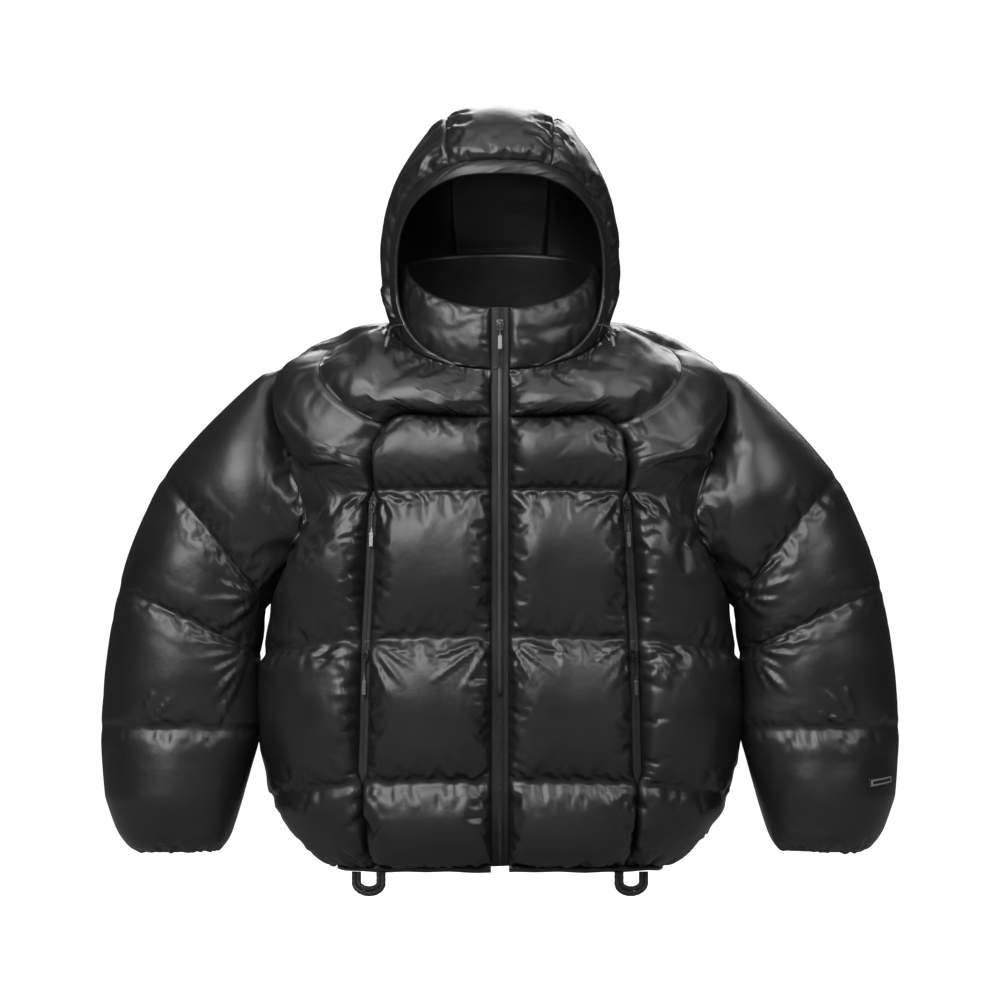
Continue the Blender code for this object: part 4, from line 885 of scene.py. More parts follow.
def hood_rim():
    side = hood_side_points()
    neck, turns = neck_line()
    foot = neck[RIM_END:SIDE_CORNER]
    outer = np.concatenate([foot, side[:, 0], rim_top_points()[1:]])
    lowest, next_low = np.radians(RIM_TURNS[::-1])
    top = rim_top_angle()
    upward = np.linspace(0, 1, HOOD_ROWS + 1)
    rising = next_low + (top - next_low) * upward
    angles = np.concatenate([[lowest, lowest], rising, top * np.array([0.5, 0])])
    inner = face_point(angles)
    inner[0] = drawn_in(opened(outer[0]) + np.array([0, 0, 2.5]))
    middle = (outer + inner) / 2
    middle[1:] = drawn_in(opened(middle[1:]) / hood_measure(opened(middle[1:]))[:, None])
    outward = np.stack([hood_outward(outer), hood_outward(middle), hood_outward(inner)], 1)
    outward[: len(foot) + 1, 0] = neck_edge(turns[RIM_END : SIDE_CORNER + 1])
    outward[0, 1:] = outward[0, 0]
    coarse = with_mirror(np.stack([outer, middle, inner], 1))
    thickness = np.full(coarse.shape[:2], SEAM_WALL)
    thickness[1:-1, 1:] = RIM_WALLS
    rows, columns = even_index(coarse.shape[0] - 1, 176), even_index(2, 8)
    points = refined(coarse, rows, columns)
    outward = unit(refined(with_mirror(outward), rows, columns))
    return Grid(points, outward, refined(thickness[..., None], rows, columns)[..., 0], [])


def collar():
    first = math.asin((ZIP_HALF / COLLAR_RINGS[0][3]) ** (COLLAR_RINGS[0][6] / 2))
    quarter = np.concatenate([[first], np.radians(NECK_TURNS)])
    half = np.concatenate([quarter, math.pi / 2 + np.radians(BACK_TURNS[1:])])
    turns = np.concatenate([half, 2 * math.pi - half[-2::-1]])
    turns = np.interp(even_index(len(turns) - 1, 120), np.arange(len(turns)), turns)
    places = np.linspace(len(COLLAR_RINGS) - 1, 0, 19)
    grid_turns = np.repeat(turns[None], len(places), 0)
    grid_places = np.repeat(places[:, None], len(turns), 1)
    points = ring_point(COLLAR_RINGS, grid_turns, grid_places)
    outward = -ring_outward(COLLAR_RINGS, grid_turns, grid_places)
    outward[..., 2] *= 0.3
    points[:, 0, 0], points[:, -1, 0] = ZIP_HALF, -ZIP_HALF
    fullness = rise(seam_distance(points, 0, 0), 18) * valley(seam_distance(points, 0, -1), 30)
    fullness = fullness * rise(seam_distance(points, 1, 0), 16) * rise(seam_distance(points, 1, -1), 16)
    return Grid(points, unit(outward), SEAM_WALL + COLLAR_LOFT * fullness, [])


# ---------------------------------------------------------------- cloth over the filling


def mirrored(grid):
    return Grid(grid.inside * TO_RIGHT, grid.outward * TO_RIGHT, grid.thickness, grid.lines, grid.closed)


def quads_of(rows, columns, closed, start=0):
    index = np.arange(rows * columns).reshape(rows, columns) + start
    if closed:
        index = np.concatenate([index, index[:, :1]], 1)
    return np.stack([index[:-1, :-1], index[1:, :-1], index[1:, 1:], index[:-1, 1:]], -1).reshape(-1, 4)


def faces_outward(points, outward, quads):
    """True if the quads' own normals point the way of the outward directions."""
    flat_points, flat_ways = points.reshape(-1, 3), outward.reshape(-1, 3)
    a, b, c = (flat_points[quads[:, k]] for k in (0, 1, 2))
    return (np.cross(b - a, c - a) * flat_ways[quads[:, 0]]).sum() > 0


def held_rows(grid):
    """True where the cloth is sewn down, on a grid of rows x columns."""
    held = np.zeros(grid.inside.shape[:2], bool)
    held[[0, -1]] = True
    if not grid.closed:
        held[:, [0, -1]] = True
    held[grid.lines] = True
    return held


def seams_of(grid):
    """Each seam or quilting line as its distances, the places along it and its share of spare cloth."""
    points = grid.outside
    down, across = seam_distance(points, 0, 0), seam_distance(points, 1, 0)
    rows, columns = points.shape[:2]
    found = []
    for row in [0, *grid.lines, rows - 1]:
        share = LINE_SPARE if row in grid.lines else SEAM_SPARE
        found.append((down - down[row], np.repeat(across[row][None], rows, 0), share))
    if not grid.closed:
        for column in (0, columns - 1):
            found.append((across - across[:, [column]], np.repeat(down[:, [column]], columns, 1), SEAM_SPARE))
    return found


def looseness(grid):
    """How much spare cloth there is: most beside a seam, less beside a quilting line, none on the filling."""
    seams = seams_of(grid)
    loose = [share * np.clip(1 - np.abs(distance) / CREASE_REACH, 0, 1) for distance, _, share in seams]
    return np.max(loose, 0)


def gathers(grid, random):
    """Small creases that run in from the seams, where the cloth is sewn down with some to spare."""
    height = np.zeros(grid.thickness.shape)
    for distance, along, share in seams_of(grid):
        place = random.uniform(0, GATHER_STEP)
        end = along.max()
        while place < end:
            for side in (-1, 1):
                length = random.uniform(0.25, 1) ** 1.5 * GATHER_LENGTH * share
                slant = random.normal() * 0.35
                width = random.uniform(2.2, 4.2)
                tall = random.uniform(0.5, 1) * GATHER_HEIGHT * random.choice([-1, 1, 1]) * share
                inwards = side * distance
                part = np.clip(inwards / max(length, 8), 0, 1)
                aside = (along - place - slant * inwards) / (width * (1 + 0.8 * part))
                height += (inwards > 0) * tall * np.sin(np.pi * part**0.55) * np.exp(-(aside**2))
            place += GATHER_STEP * random.uniform(0.5, 1.6)
    return height


def fan(grid, row, column, angles, count, reach, random):
    """Long creases that spread from a corner. Angles are in degrees: 0 goes along the row, 90 down."""
    points = grid.outside
    down, across = seam_distance(points, 0, 0), seam_distance(points, 1, 0)
    aside, below = across - across[:, [column]], down - down[row]
    radius, angle = np.hypot(aside, below), np.degrees(np.arctan2(below, aside))
    height = np.zeros(radius.shape)
    for middle in np.linspace(*angles, count) + random.uniform(-3, 3, count):
        length = reach * random.uniform(0.5, 1)
        start = random.uniform(4, 16)
        part = np.clip((radius - start) / length, 0, 1)
        off = radius * np.sin(np.radians(angle - middle)) / random.uniform(2.4, 4.0)
        near = np.cos(np.radians(angle - middle)) > 0
        height += near * random.uniform(0.6, 1) * FAN_HEIGHT * np.sin(np.pi * part**0.6) * np.exp(-(off**2))
    return height


def soft_noise(points, size, seed):
    """Smooth noise between -1 and 1 from a few waves in fixed random directions."""
    random = np.random.RandomState(seed)
    total = np.zeros(points.shape[:-1])
    for _ in range(14):
        way = unit(random.normal(size=3)) * 2 * math.pi / (size * random.uniform(0.7, 1.5))
        total += np.sin(points @ way + random.uniform(0, 2 * math.pi))
    return total / 5


def crease_height(grid, number, fans):
    """The creases of a panel's outside, in mm."""
    random = np.random.RandomState(SEED + number)
    height = gathers(grid, random) + soft_noise(grid.outside, 60, SEED + number) * 0.5
    for row, column, angles, count, reach in fans:
        height += fan(grid, row, column, angles, count, reach, random)
    return height * ~held_rows(grid)


def settled(grids, starts):
    """The outsides of padded panels after their cloth has settled over the filling."""
    places, quads, pins, loose = [], [], [], []
    start = 0
    for grid, points in zip(grids, starts):
        rows, columns = points.shape[:2]
        faces = quads_of(rows, columns, grid.closed)
        if not faces_outward(points, grid.outward, faces):
            faces = faces[:, ::-1]
        places.append(points.reshape(-1, 3))
        quads.append(faces + start)
        pins.append(held_rows(grid).ravel())
        loose.append(looseness(grid).ravel())
        start += rows * columns
    places, quads, pins, loose = (np.concatenate(part) for part in (places, quads, pins, loose))
    mesh = mesh_of("cloth", places, quads.tolist())
    thing = linked("cloth", mesh)
    pin_group, taut_group = thing.vertex_groups.new(name="held"), thing.vertex_groups.new(name="taut")
    pin_group.add(np.flatnonzero(pins).tolist(), 1.0, "REPLACE")
    for level in range(21):
        at_level = np.flatnonzero(np.round((1 - loose) * 20) == level)
        taut_group.add(at_level.tolist(), level / 20, "REPLACE")
    cloth = thing.modifiers.new("cloth", "CLOTH")
    for setting, value in CLOTH.items():
        setattr(cloth.settings, setting, value)
    cloth.settings.effector_weights.gravity = 0
    cloth.collision_settings.use_collision = False
    cloth.collision_settings.use_self_collision = False
    scene = bpy.context.scene
    cloth.point_cache.frame_start, cloth.point_cache.frame_end = 1, CLOTH_FRAMES
    for number in range(1, CLOTH_FRAMES + 1):
        scene.frame_set(number)
    graph = bpy.context.evaluated_depsgraph_get()
    done = thing.evaluated_get(graph).to_mesh()
    moved = np.empty(len(places) * 3)
    done.vertices.foreach_get("co", moved)
    moved = moved.reshape(-1, 3) / MM
    thing.evaluated_get(graph).to_mesh_clear()
    scene.frame_set(1)
    bpy.data.objects.remove(thing, do_unlink=True)
    bpy.data.meshes.remove(mesh)
    result, start = [], 0
    for grid in grids:
        size = grid.thickness.size
        result.append(moved[start : start + size].reshape(grid.inside.shape))
        start += size
    return result


def capped(grid, moved, free=1.0):
    """Limits how far the cloth has moved from the form, softly. free is 0 where it may not move."""
    change = moved - grid.outside
    height = (change * grid.outward).sum(-1)
    along = change - grid.outward * height[..., None]
    limit = np.where(height < 0, MOVE_IN, MOVE_OUT)
    height = limit * np.tanh(height / limit) * free
    length = np.linalg.norm(along, axis=-1, keepdims=True)
    along = along * np.tanh(length / MOVE_ASIDE) * MOVE_ASIDE / np.maximum(length, 1e-6)
    return grid.outside + grid.outward * height[..., None] + along * np.asarray(free)[..., None]


def doubled(points, closed):
    """A grid with a smooth point put between each two."""
    rows, columns = points.shape[:2]
    points = along_rows(points, np.arange(2 * rows - 1) / 2)
    swapped = np.swapaxes(points, 0, 1)
    if closed:
        swapped = along_round(swapped, np.arange(2 * columns) / 2)
    else:
        swapped = along_rows(swapped, np.arange(2 * columns - 1) / 2)
    return np.swapaxes(swapped, 0, 1)


# ---------------------------------------------------------------- meshes


def mesh_of(name, points, faces, edges=()):
    """A mesh of points in mm."""
    mesh = bpy.data.meshes.new(name)
    mesh.from_pydata((points.reshape(-1, 3) * MM).tolist(), list(edges), faces)
    return mesh


def linked(name, data):
    thing = bpy.data.objects.new(name, data)
    bpy.context.scene.collection.objects.link(thing)
    return thing


def mark_wear_and_highlight(mesh, worn):
    """How much each point is lightened, from 0 to 1: rubbed wear, and on a pull's lower end a painted
    highlight.
    """
    values = np.zeros(len(mesh.vertices)) + worn
    mesh.attributes.new("worn", "FLOAT", "POINT").data.foreach_set("value", values)


def lay_out(mesh, maps, columns, closed):
    """A UV map in metres, from (rows x columns) grids: a weave keeps its size and runs with the panel."""
    table = np.concatenate([uv.reshape(-1, 2) for uv in maps])
    corner = np.empty(len(mesh.loops), int)
    mesh.loops.foreach_get("vertex_index", corner)
    placed = table[corner]
    if closed:
        start = np.empty(len(mesh.polygons), int)
        total = np.empty(len(mesh.polygons), int)
        mesh.polygons.foreach_get("loop_start", start)
        mesh.polygons.foreach_get("loop_total", total)
        face = np.repeat(np.arange(len(start)), total)
        widest = np.zeros(len(start))
        np.maximum.at(widest, face, placed[:, 0])
        wraps = (placed[:, 0] == 0) & (widest[face] > table[:, 0].max() / 2)
        placed[wraps, 0] = table[:, 0].max() * columns / (columns - 1)
    layer = mesh.uv_layers.new(name="cloth")
    layer.data.foreach_set("uv", placed.ravel())


def wall_mesh(name, inside, outside, outward, closed=False, every=4):
    """A closed wall: a fine outside, and an inside that keeps one row and column in several."""
    rows, columns = outside.shape[:2]
    flip = not faces_outward(outside, outward, quads_of(rows, columns, closed))
    kept_rows = sorted({*range(0, rows, every), rows - 1})
    kept_columns = sorted({*range(0, columns, every), *([] if closed else [columns - 1])})
    low = inside[np.ix_(kept_rows, kept_columns)]
    top = np.arange(rows * columns).reshape(rows, columns)
    under = np.arange(low.shape[0] * low.shape[1]).reshape(low.shape[:2]) + rows * columns
    faces = [tuple(q) for q in quads_of(rows, columns, closed).tolist()]
    outer_count = len(faces)
    faces += [tuple(q[::-1]) for q in quads_of(*low.shape[:2], closed, rows * columns).tolist()]
    inner_count = len(faces)

    def edge(fine, coarse, kept, ring, reverse):
        spans = [(list(fine[kept[k] : kept[k + 1] + 1]), k, k + 1) for k in range(len(kept) - 1)]
        if ring:
            spans.append((list(fine[kept[-1] :]) + [fine[0]], len(kept) - 1, 0))
        for line, first, second in spans:
            face = line + [coarse[second], coarse[first]]
            faces.append(tuple(int(k) for k in (face[::-1] if reverse else face)))

    edge(top[0], under[0], kept_columns, closed, False)
    edge(top[-1], under[-1], kept_columns, closed, True)
    if not closed:
        edge(top[:, 0], under[:, 0], kept_rows, False, True)
        edge(top[:, -1], under[:, -1], kept_rows, False, False)
    if flip:
        faces = [face[::-1] for face in faces]
    mesh = mesh_of(name, np.concatenate([outside.reshape(-1, 3), low.reshape(-1, 3)]), faces)
    middle = outside[rows // 2], outside[:, columns // 2]
    u, v = (run_length(line) for line in middle)
    uv = np.stack(np.meshgrid(u, v), -1) * MM
    lay_out(mesh, [uv, uv[np.ix_(kept_rows, kept_columns)]], columns, closed)
    index = np.zeros(len(faces), int)
    index[outer_count:inner_count] = 1
    mesh.polygons.foreach_set("material_index", index)
    return mesh


def round_ends(rings, sides):
    """The two faces that close a tube."""
    last = (rings - 1) * sides
    return [tuple(range(sides)), tuple(range(last + sides - 1, last - 1, -1))]


def tube_mesh(name, path, radius, sides, relief):
    """A closed tube along a path. relief(along, angle) is added to its radius."""
    path = np.asarray(path, float)
    tangent = unit(np.gradient(path, axis=0))
    side = unit(np.cross(tangent[0], [0.3, 1, 0.2]))
    sides_found = []
    for way in tangent:
        side = unit(side - way * (side @ way))
        sides_found.append(side)
    side = np.array(sides_found)
    other = np.cross(tangent, side)
    along = run_length(path)
    angle = np.linspace(0, 2 * math.pi, sides, endpoint=False)
    reach = radius + relief(along[:, None], angle[None])
    ring = np.cos(angle)[None, :, None] * side[:, None] + np.sin(angle)[None, :, None] * other[:, None]
    points = path[:, None] + ring * reach[..., None]
    faces = [tuple(q) for q in quads_of(len(path), sides, True).tolist()]
    faces += round_ends(len(path), sides)
    if not faces_outward(points, ring, quads_of(len(path), sides, True)):
        faces = [face[::-1] for face in faces]
    mesh = mesh_of(name, points, faces)
    uv = np.stack(np.meshgrid(angle * radius, along), -1) * MM
    lay_out(mesh, [uv], sides, True)
    return mesh


# ---------------------------------------------------------------- materials


def new_group(name, inputs, outputs):
    """A shader node group with its named sockets. Inputs are (name, kind, value), outputs (name, kind)."""
    tree = bpy.data.node_groups.new(name, "ShaderNodeTree")
    for label, kind, value in inputs:
        socket = tree.interface.new_socket(name=label, in_out="INPUT", socket_type=f"NodeSocket{kind}")
        if value is not None:
            socket.default_value = value
    for label, kind in outputs:
        tree.interface.new_socket(name=label, in_out="OUTPUT", socket_type=f"NodeSocket{kind}")
    return tree, tree.nodes.new("NodeGroupInput").outputs, tree.nodes.new("NodeGroupOutput").inputs


def wired(tree, kind, settings=None, **values):
    """A node with its settings. Each value goes to the input of that name, or of that number after an n."""
    node = tree.nodes.new(kind)
    for key, value in (settings or {}).items():
        setattr(node, key, value)
    for key, value in values.items():
        socket = node.inputs[int(key[1:]) if key[1:].isdigit() else key.replace("_", " ")]
        if isinstance(value, bpy.types.NodeSocket):
            tree.links.new(value, socket)
        else:
            socket.default_value = value
    return node


def sum_of(tree, operation, *values):
    named = {f"n{number}": value for number, value in enumerate(values)}
    return wired(tree, "ShaderNodeMath", {"operation": operation}, **named).outputs[0]


def build_groups():
    """The effects that several materials share: a weave, soft crinkles, and scuffs that also carry the
    painted highlight on the pulls' lower ends.
    """
    inputs = [("Vector", "Vector", None), ("Threads", "Float", 2000.0)]
    tree, given, out = new_group("weave", inputs, [("Height", "Float")])
    turns = sum_of(tree, "MULTIPLY", given["Threads"], 2 * math.pi)
    spot = wired(tree, "ShaderNodeVectorMath", {"operation": "SCALE"}, Vector=given["Vector"], Scale=turns)
    apart = wired(tree, "ShaderNodeSeparateXYZ", Vector=spot.outputs["Vector"]).outputs
    woven = sum_of(tree, "MULTIPLY", sum_of(tree, "SINE", apart[0]), sum_of(tree, "SINE", apart[1]))
    tree.links.new(sum_of(tree, "MULTIPLY_ADD", woven, 0.5, 0.5), out["Height"])

    outputs = [("Height", "Float"), ("Shade", "Float")]
    tree, given, out = new_group("crinkle", [("Vector", "Vector", None), ("Size", "Float", 0.03)], outputs)
    scale = sum_of(tree, "DIVIDE", 1.0, given["Size"])
    fine = wired(tree, "ShaderNodeTexNoise", Vector=given["Vector"], Scale=scale, Detail=4.0, Roughness=0.5)
    broad = sum_of(tree, "MULTIPLY", scale, 0.35)
    slow = wired(tree, "ShaderNodeTexNoise", Vector=given["Vector"], Scale=broad, Detail=2.0, Roughness=0.5)
    tree.links.new(fine.outputs[0], out["Height"])
    shade = wired(tree, "ShaderNodeMapRange", Value=slow.outputs[0], From_Min=0.3, From_Max=0.7)
    tree.links.new(shade.outputs[0], out["Shade"])

    inputs = [("Vector", "Vector", None), ("Worn", "Float", 0.3), ("Size", "Float", 0.002)]
    tree, given, out = new_group("scuffs_and_highlights", inputs, [("Mask", "Float")])
    scale = sum_of(tree, "DIVIDE", 1.0, given["Size"])
    spots = wired(tree, "ShaderNodeTexNoise", Vector=given["Vector"], Scale=scale, Detail=4.0, Roughness=0.6)
    reach = sum_of(tree, "MULTIPLY_ADD", given["Worn"], 0.9, -0.85)
    both = sum_of(tree, "ADD", spots.outputs[0], reach)
    mask = wired(tree, "ShaderNodeMath", {"operation": "MULTIPLY", "use_clamp": True}, n0=both, n1=5.0)
    tree.links.new(mask.outputs[0], out["Mask"])


def placed(tree, name, **values):
    return wired(tree, "ShaderNodeGroup", {"node_tree": bpy.data.node_groups[name]}, **values).outputs


def new_material(name):
    made = bpy.data.materials.new(name)
    made.use_nodes = True
    tree = made.node_tree
    return made, tree, tree.nodes["Principled BSDF"]


def blend_colours(tree, share, first, second):
    node = wired(tree, "ShaderNodeMix", {"data_type": "RGBA"}, n0=share)
    node.inputs[6].default_value, node.inputs[7].default_value = (*first, 1), (*second, 1)
    return node.outputs[2]


def uniform(shader, **values):
    for key, value in values.items():
        shader.inputs[key.replace("_", " ")].default_value = value


def woven(name, colours, roughness, threads=2000.0, weave=0.008, size=0.03, crinkle=1.0, laid=True, **values):
    """A cloth: threads per metre, weave and crinkle depths in mm. Laid cloth's weave follows its UV map."""
    made, tree, shader = new_material(name)
    place = tree.nodes.new("ShaderNodeTexCoord").outputs["Object"]
    map_place = wired(tree, "ShaderNodeUVMap", {"uv_map": "cloth"}).outputs[0] if laid else place
    weave_height = placed(tree, "weave", Vector=map_place, Threads=threads)["Height"]
    crinkled = placed(tree, "crinkle", Vector=place, Size=size)
    tree.links.new(blend_colours(tree, crinkled["Shade"], *colours), shader.inputs["Base Color"])
    low, high = roughness
    rough = wired(tree, "ShaderNodeMapRange", Value=crinkled["Shade"], To_Min=low, To_Max=high)
    tree.links.new(rough.outputs[0], shader.inputs["Roughness"])
    fine = wired(tree, "ShaderNodeBump", Height=weave_height, Distance=weave * MM)
    crinkles = {"Height": crinkled["Height"], "Distance": crinkle * MM}
    soft = wired(tree, "ShaderNodeBump", **crinkles, Normal=fine.outputs[0])
    tree.links.new(soft.outputs[0], shader.inputs["Normal"])
    uniform(shader, **values)
    return made


def hard(name, colours, roughness, metallic, size):
    """A lacquered or moulded piece, lighter where it is worn and where a highlight is painted on, as on a
    pull's lower end.
    """
    made, tree, shader = new_material(name)
    place = tree.nodes.new("ShaderNodeTexCoord").outputs["Object"]
    # this mark lightens the colour: wear on most pieces, a painted highlight on the pulls' lower ends
    worn = wired(tree, "ShaderNodeAttribute", {"attribute_name": "worn"}).outputs["Fac"]
    mask = placed(tree, "scuffs_and_highlights", Vector=place, Worn=worn, Size=size)["Mask"]
    tree.links.new(blend_colours(tree, mask, *colours), shader.inputs["Base Color"])
    rough = wired(tree, "ShaderNodeMapRange", Value=mask, To_Min=roughness[0], To_Max=roughness[1])
    tree.links.new(rough.outputs[0], shader.inputs["Roughness"])
    crinkled = placed(tree, "crinkle", Vector=place, Size=size)
    bump = wired(tree, "ShaderNodeBump", Height=crinkled["Height"], Distance=0.02 * MM)
    tree.links.new(bump.outputs[0], shader.inputs["Normal"])
    uniform(shader, Metallic=metallic)
    return made


def grey(low, high):
    return (low, low, low * 1.06), (high, high, high * 1.06)


def build_materials():
    build_groups()
    return {
        "nylon": woven(
            "glossy_nylon", grey(0.008, 0.012), (0.33, 0.44), Coat_Weight=0.12, Coat_Roughness=0.3
        ),
        # a matte black lining whose colour is painted darker than the shell as shade, so the hood's hollow
        # reads near black
        "lining_painted_shade": woven("lining_painted_shade", grey(0.0015, 0.0022), (0.7, 0.8), crinkle=1.6, Specular_IOR_Level=0.15),
        "tape": woven(
            "zip_tape_weave", grey(0.004, 0.007), (0.62, 0.75), threads=900.0, weave=0.05, crinkle=0.3
        ),
        # a satin tape, partly its own grey and partly a painted sheen: its colour is lighter than the shell's
        "satin": woven("satin_tape_painted_sheen", grey(0.014, 0.022), (0.4, 0.5), threads=1100.0, weave=0.02, crinkle=0.4),
        "patch": woven(
            "patch_weave", grey(0.008, 0.012), (0.4, 0.5), threads=1400.0, weave=0.03, crinkle=0.2
        ),
        "edging": woven(
            "edging_thread", grey(0.2, 0.26), (0.5, 0.6), threads=1400.0, weave=0.05, crinkle=0.1
        ),
        "braid": woven(
            "braid", grey(0.014, 0.022), (0.5, 0.62), threads=2200.0, weave=0.03, size=0.01, crinkle=0.2
        ),
        "thread": woven(
            "thread", grey(0.014, 0.02), (0.45, 0.55), laid=False, weave=0.02, size=0.004, crinkle=0.1
        ),
        "coil": hard("zip_coil", ((0.012, 0.012, 0.013), (0.05, 0.05, 0.052)), (0.4, 0.5), 0.0, 0.003),
        "metal": hard("dark_lacquer", ((0.03, 0.03, 0.032), (0.2, 0.2, 0.195)), (0.34, 0.26), 0.9, 0.004),
        "plastic": hard("moulded_tip", ((0.075, 0.075, 0.078), (0.12, 0.12, 0.12)), (0.36, 0.48), 0.0, 0.006),
    }


# ---------------------------------------------------------------- pieces


def add(name, mesh, materials, replaced=(), body=BODY):
    mesh.materials.clear()
    for material in materials:
        mesh.materials.append(material)
    for polygon in mesh.polygons:
        polygon.use_smooth = True
    thing = linked(name, mesh)
    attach(thing, body)
    if replaced:
        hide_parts(*replaced)
    return thing


# Long creases of each panel: fine row and column of the corner, angles, how many, and their reach in mm
FANS = {
    "front_centre": (
        (52, 0, (18, 72), 4, 95),
        (52, 30, (108, 162), 5, 95),
        (18, 30, (112, 160), 3, 70),
        (86, 30, (105, 150), 3, 60),
    ),
    "front_side": ((62, 0, (20, 70), 4, 80), (62, 26, (112, 165), 4, 80), (28, 0, (25, 80), 3, 60)),
    "sleeve": (
        (48, 36, (110, 168), 5, 110),
        (24, 34, (118, 170), 4, 90),
        (48, 54, (12, 68), 5, 110),
        (72, 14, (-75, -20), 3, 70),
    ),
    "back": (
        (74, 0, (18, 70), 5, 100),
        (74, 110, (110, 162), 5, 100),
        (40, 0, (18, 60), 3, 80),
        (40, 110, (120, 162), 3, 80),
    ),
}


# The share of the creases on firmer pieces
CALM = {"collar": 0.4, "yoke": 0.8, "hood_centre": 0.7, "hood_side": 0.8}


def patch_places():
    """Fine rows and columns of the sleeve that the cuff patch covers."""
    rows, columns = PATCH_POINTS
    coarse = index_of(SLEEVE_STEPS, SLEEVE_COUNTS)
    across = np.linspace(*PATCH_COLUMNS, columns) * SLEEVE_COLUMNS / len(armhole_loop()[0])
    share = (across - across[0]) / (across[-1] - across[0])
    down = PATCH_ROW + np.linspace(*PATCH_ROWS, rows)[:, None] + PATCH_SLANT * share
    return np.interp(down, coarse, np.arange(len(coarse))), np.repeat(across[None], rows, 0)


def read_at(points, rows, columns):
    """A grid read at fractional rows and columns."""
    row, column = rows.astype(int), columns.astype(int)
    down, aside = (rows - row)[..., None], (columns - column)[..., None]
    upper = points[row, column] * (1 - aside) + points[row, column + 1] * aside
    lower = points[row + 1, column] * (1 - aside) + points[row + 1, column + 1] * aside
    return upper * (1 - down) + lower * down


def shaped(grid):
    """Tucks the form in a little above the hem's corners and over the shoulder ends."""
    x, _, z = np.moveaxis(grid.outside, -1, 0)
    corner = np.clip((-585 - z) / 60, 0, 1) * np.clip((np.abs(x) - 130) / 70, 0, 1)
    shoulder = np.exp(-(((z + 28) / 24) ** 2)) * np.clip((np.abs(x) - 165) / 50, 0, 1)
    full = SEAM_WALL + (grid.thickness - SEAM_WALL) * (1 - HEM_TUCK * corner)
    grid.thickness = np.maximum(full - SHOULDER_TUCK * shoulder, SEAM_WALL)
    return grid


def freedom(name, grid):
    """How far cloth may move: less over the shoulders, on the sleeves' outer sides and under the patch."""
    x, _, z = np.moveaxis(grid.outside, -1, 0)
    free = 1 - 0.65 * np.clip((z + 170) / 60, 0, 1) * np.clip((np.abs(x) - 120) / 60, 0, 1)
    if name == "collar":
        free = free * 0.45
    if name.startswith("sleeve"):
        angle = np.arange(SLEEVE_COLUMNS) / SLEEVE_COLUMNS * 2 * math.pi
        free = free * (1 - 0.75 * np.abs(np.cos(angle)) ** 6)
    if name == "sleeve_left":
        middle = read_at(grid.outside, *patch_places())[PATCH_POINTS[0] // 2, PATCH_POINTS[1] // 2]
        away = np.linalg.norm(grid.outside - middle, axis=-1)
        free = free * np.clip((away - 14) / 22, 0, 1)
    return free


def padded_panels(look):
    """Every quilted or lightly filled piece of the jacket."""
    left = {"front_centre": centre_front(), "front_side": side_front(), "yoke": yoke(), "sleeve": sleeve()}
    left["hood_side"] = hood_side()
    grids = {}
    for stem, grid in left.items():
        grids[f"{stem}_left"], grids[f"{stem}_right"] = grid, mirrored(grid)
    grids["back"], grids["hood_centre"], grids["collar"] = back(), hood_centre(), collar()
    names = list(grids)
    creases = []
    for number, name in enumerate(names):
        stem = name.removesuffix("_left").removesuffix("_right")
        shaped(grids[name])
        height = crease_height(grids[name], number, FANS.get(stem, ())) * CALM.get(stem, 1)
        creases.append(grids[name].outward * height[..., None])
    starts = [grid.outside + crease for grid, crease in zip(grids.values(), creases)]
    outsides = settled(list(grids.values()), starts)
    shown = {}
    for name, moved, crease in zip(names, outsides, creases):
        grid = grids[name]
        free = freedom(name, grid)
        outside = capped(grid, moved, free) + crease * KEPT_CREASE * free[..., None]
        outside = doubled(outside, grid.closed)
        inside, outward = doubled(grid.inside, grid.closed), doubled(grid.outward, grid.closed)
        mesh = wall_mesh(f"{name}_cloth", inside, outside, outward, grid.closed)
        inner = look["nylon" if name == "collar" else "lining_painted_shade"]
        thing = add(f"{name}_cloth", mesh, [look["nylon"], inner], [name])
        shown[name] = (grid, outside, outward)
    return shown


def puckers(along, share, step, tall, random):
    """Creases across a narrow casing, deepest at its sewn edge (share 0) or at its free edge (share 1)."""
    height = np.zeros(along.shape)
    place = random.uniform(0, step)
    while place < along.max():
        from_seam = random.uniform() < 0.7
        depth = random.uniform(0.4, 1) * tall * random.choice([-1, 1])
        slant = random.normal() * 3
        near = (1 - share if from_seam else share) ** 0.8
        height += depth * near * np.exp(-(((along - place - slant * share) / random.uniform(1.6, 3.4)) ** 2))
        place += step * random.uniform(0.6, 1.5)
    return height


def rim(look):
    grid = hood_rim()
    inside, outward = doubled(grid.inside, False), doubled(grid.outward, False)
    thickness = doubled(grid.thickness[..., None], False)[..., 0]
    along = seam_distance(inside, 0, 0)
    share = np.linspace(0, 1, inside.shape[1])[None]
    height = puckers(along, share, *RIM_PUCKERS, np.random.RandomState(SEED))
    height += 0.8 * np.sin(math.pi * share) ** 0.8
    height[[0, -1]] = 0
    outside = inside + outward * (thickness + height)[..., None]
    mesh = wall_mesh("hood_rim_cloth", inside, outside, outward, False, every=2)
    thing = add("hood_rim_cloth", mesh, [look["nylon"], look["lining_painted_shade"]], ["hood_rim"])
    return outside, outward


def hem_ring():
    """Even turns round the hem, from the left of the zip round the back to its right."""
    first = float(turn_at(ZIP_HALF, np.float64(HEM)))
    turns = np.linspace(first, 2 * math.pi - first, 1200)
    points = ring_point(BODY_RINGS, turns, np.full(len(turns), float(HEM)))
    length = run_length(points)
    return np.interp(np.linspace(0, length[-1], HEM_CASING_POINTS[1]), length, turns)


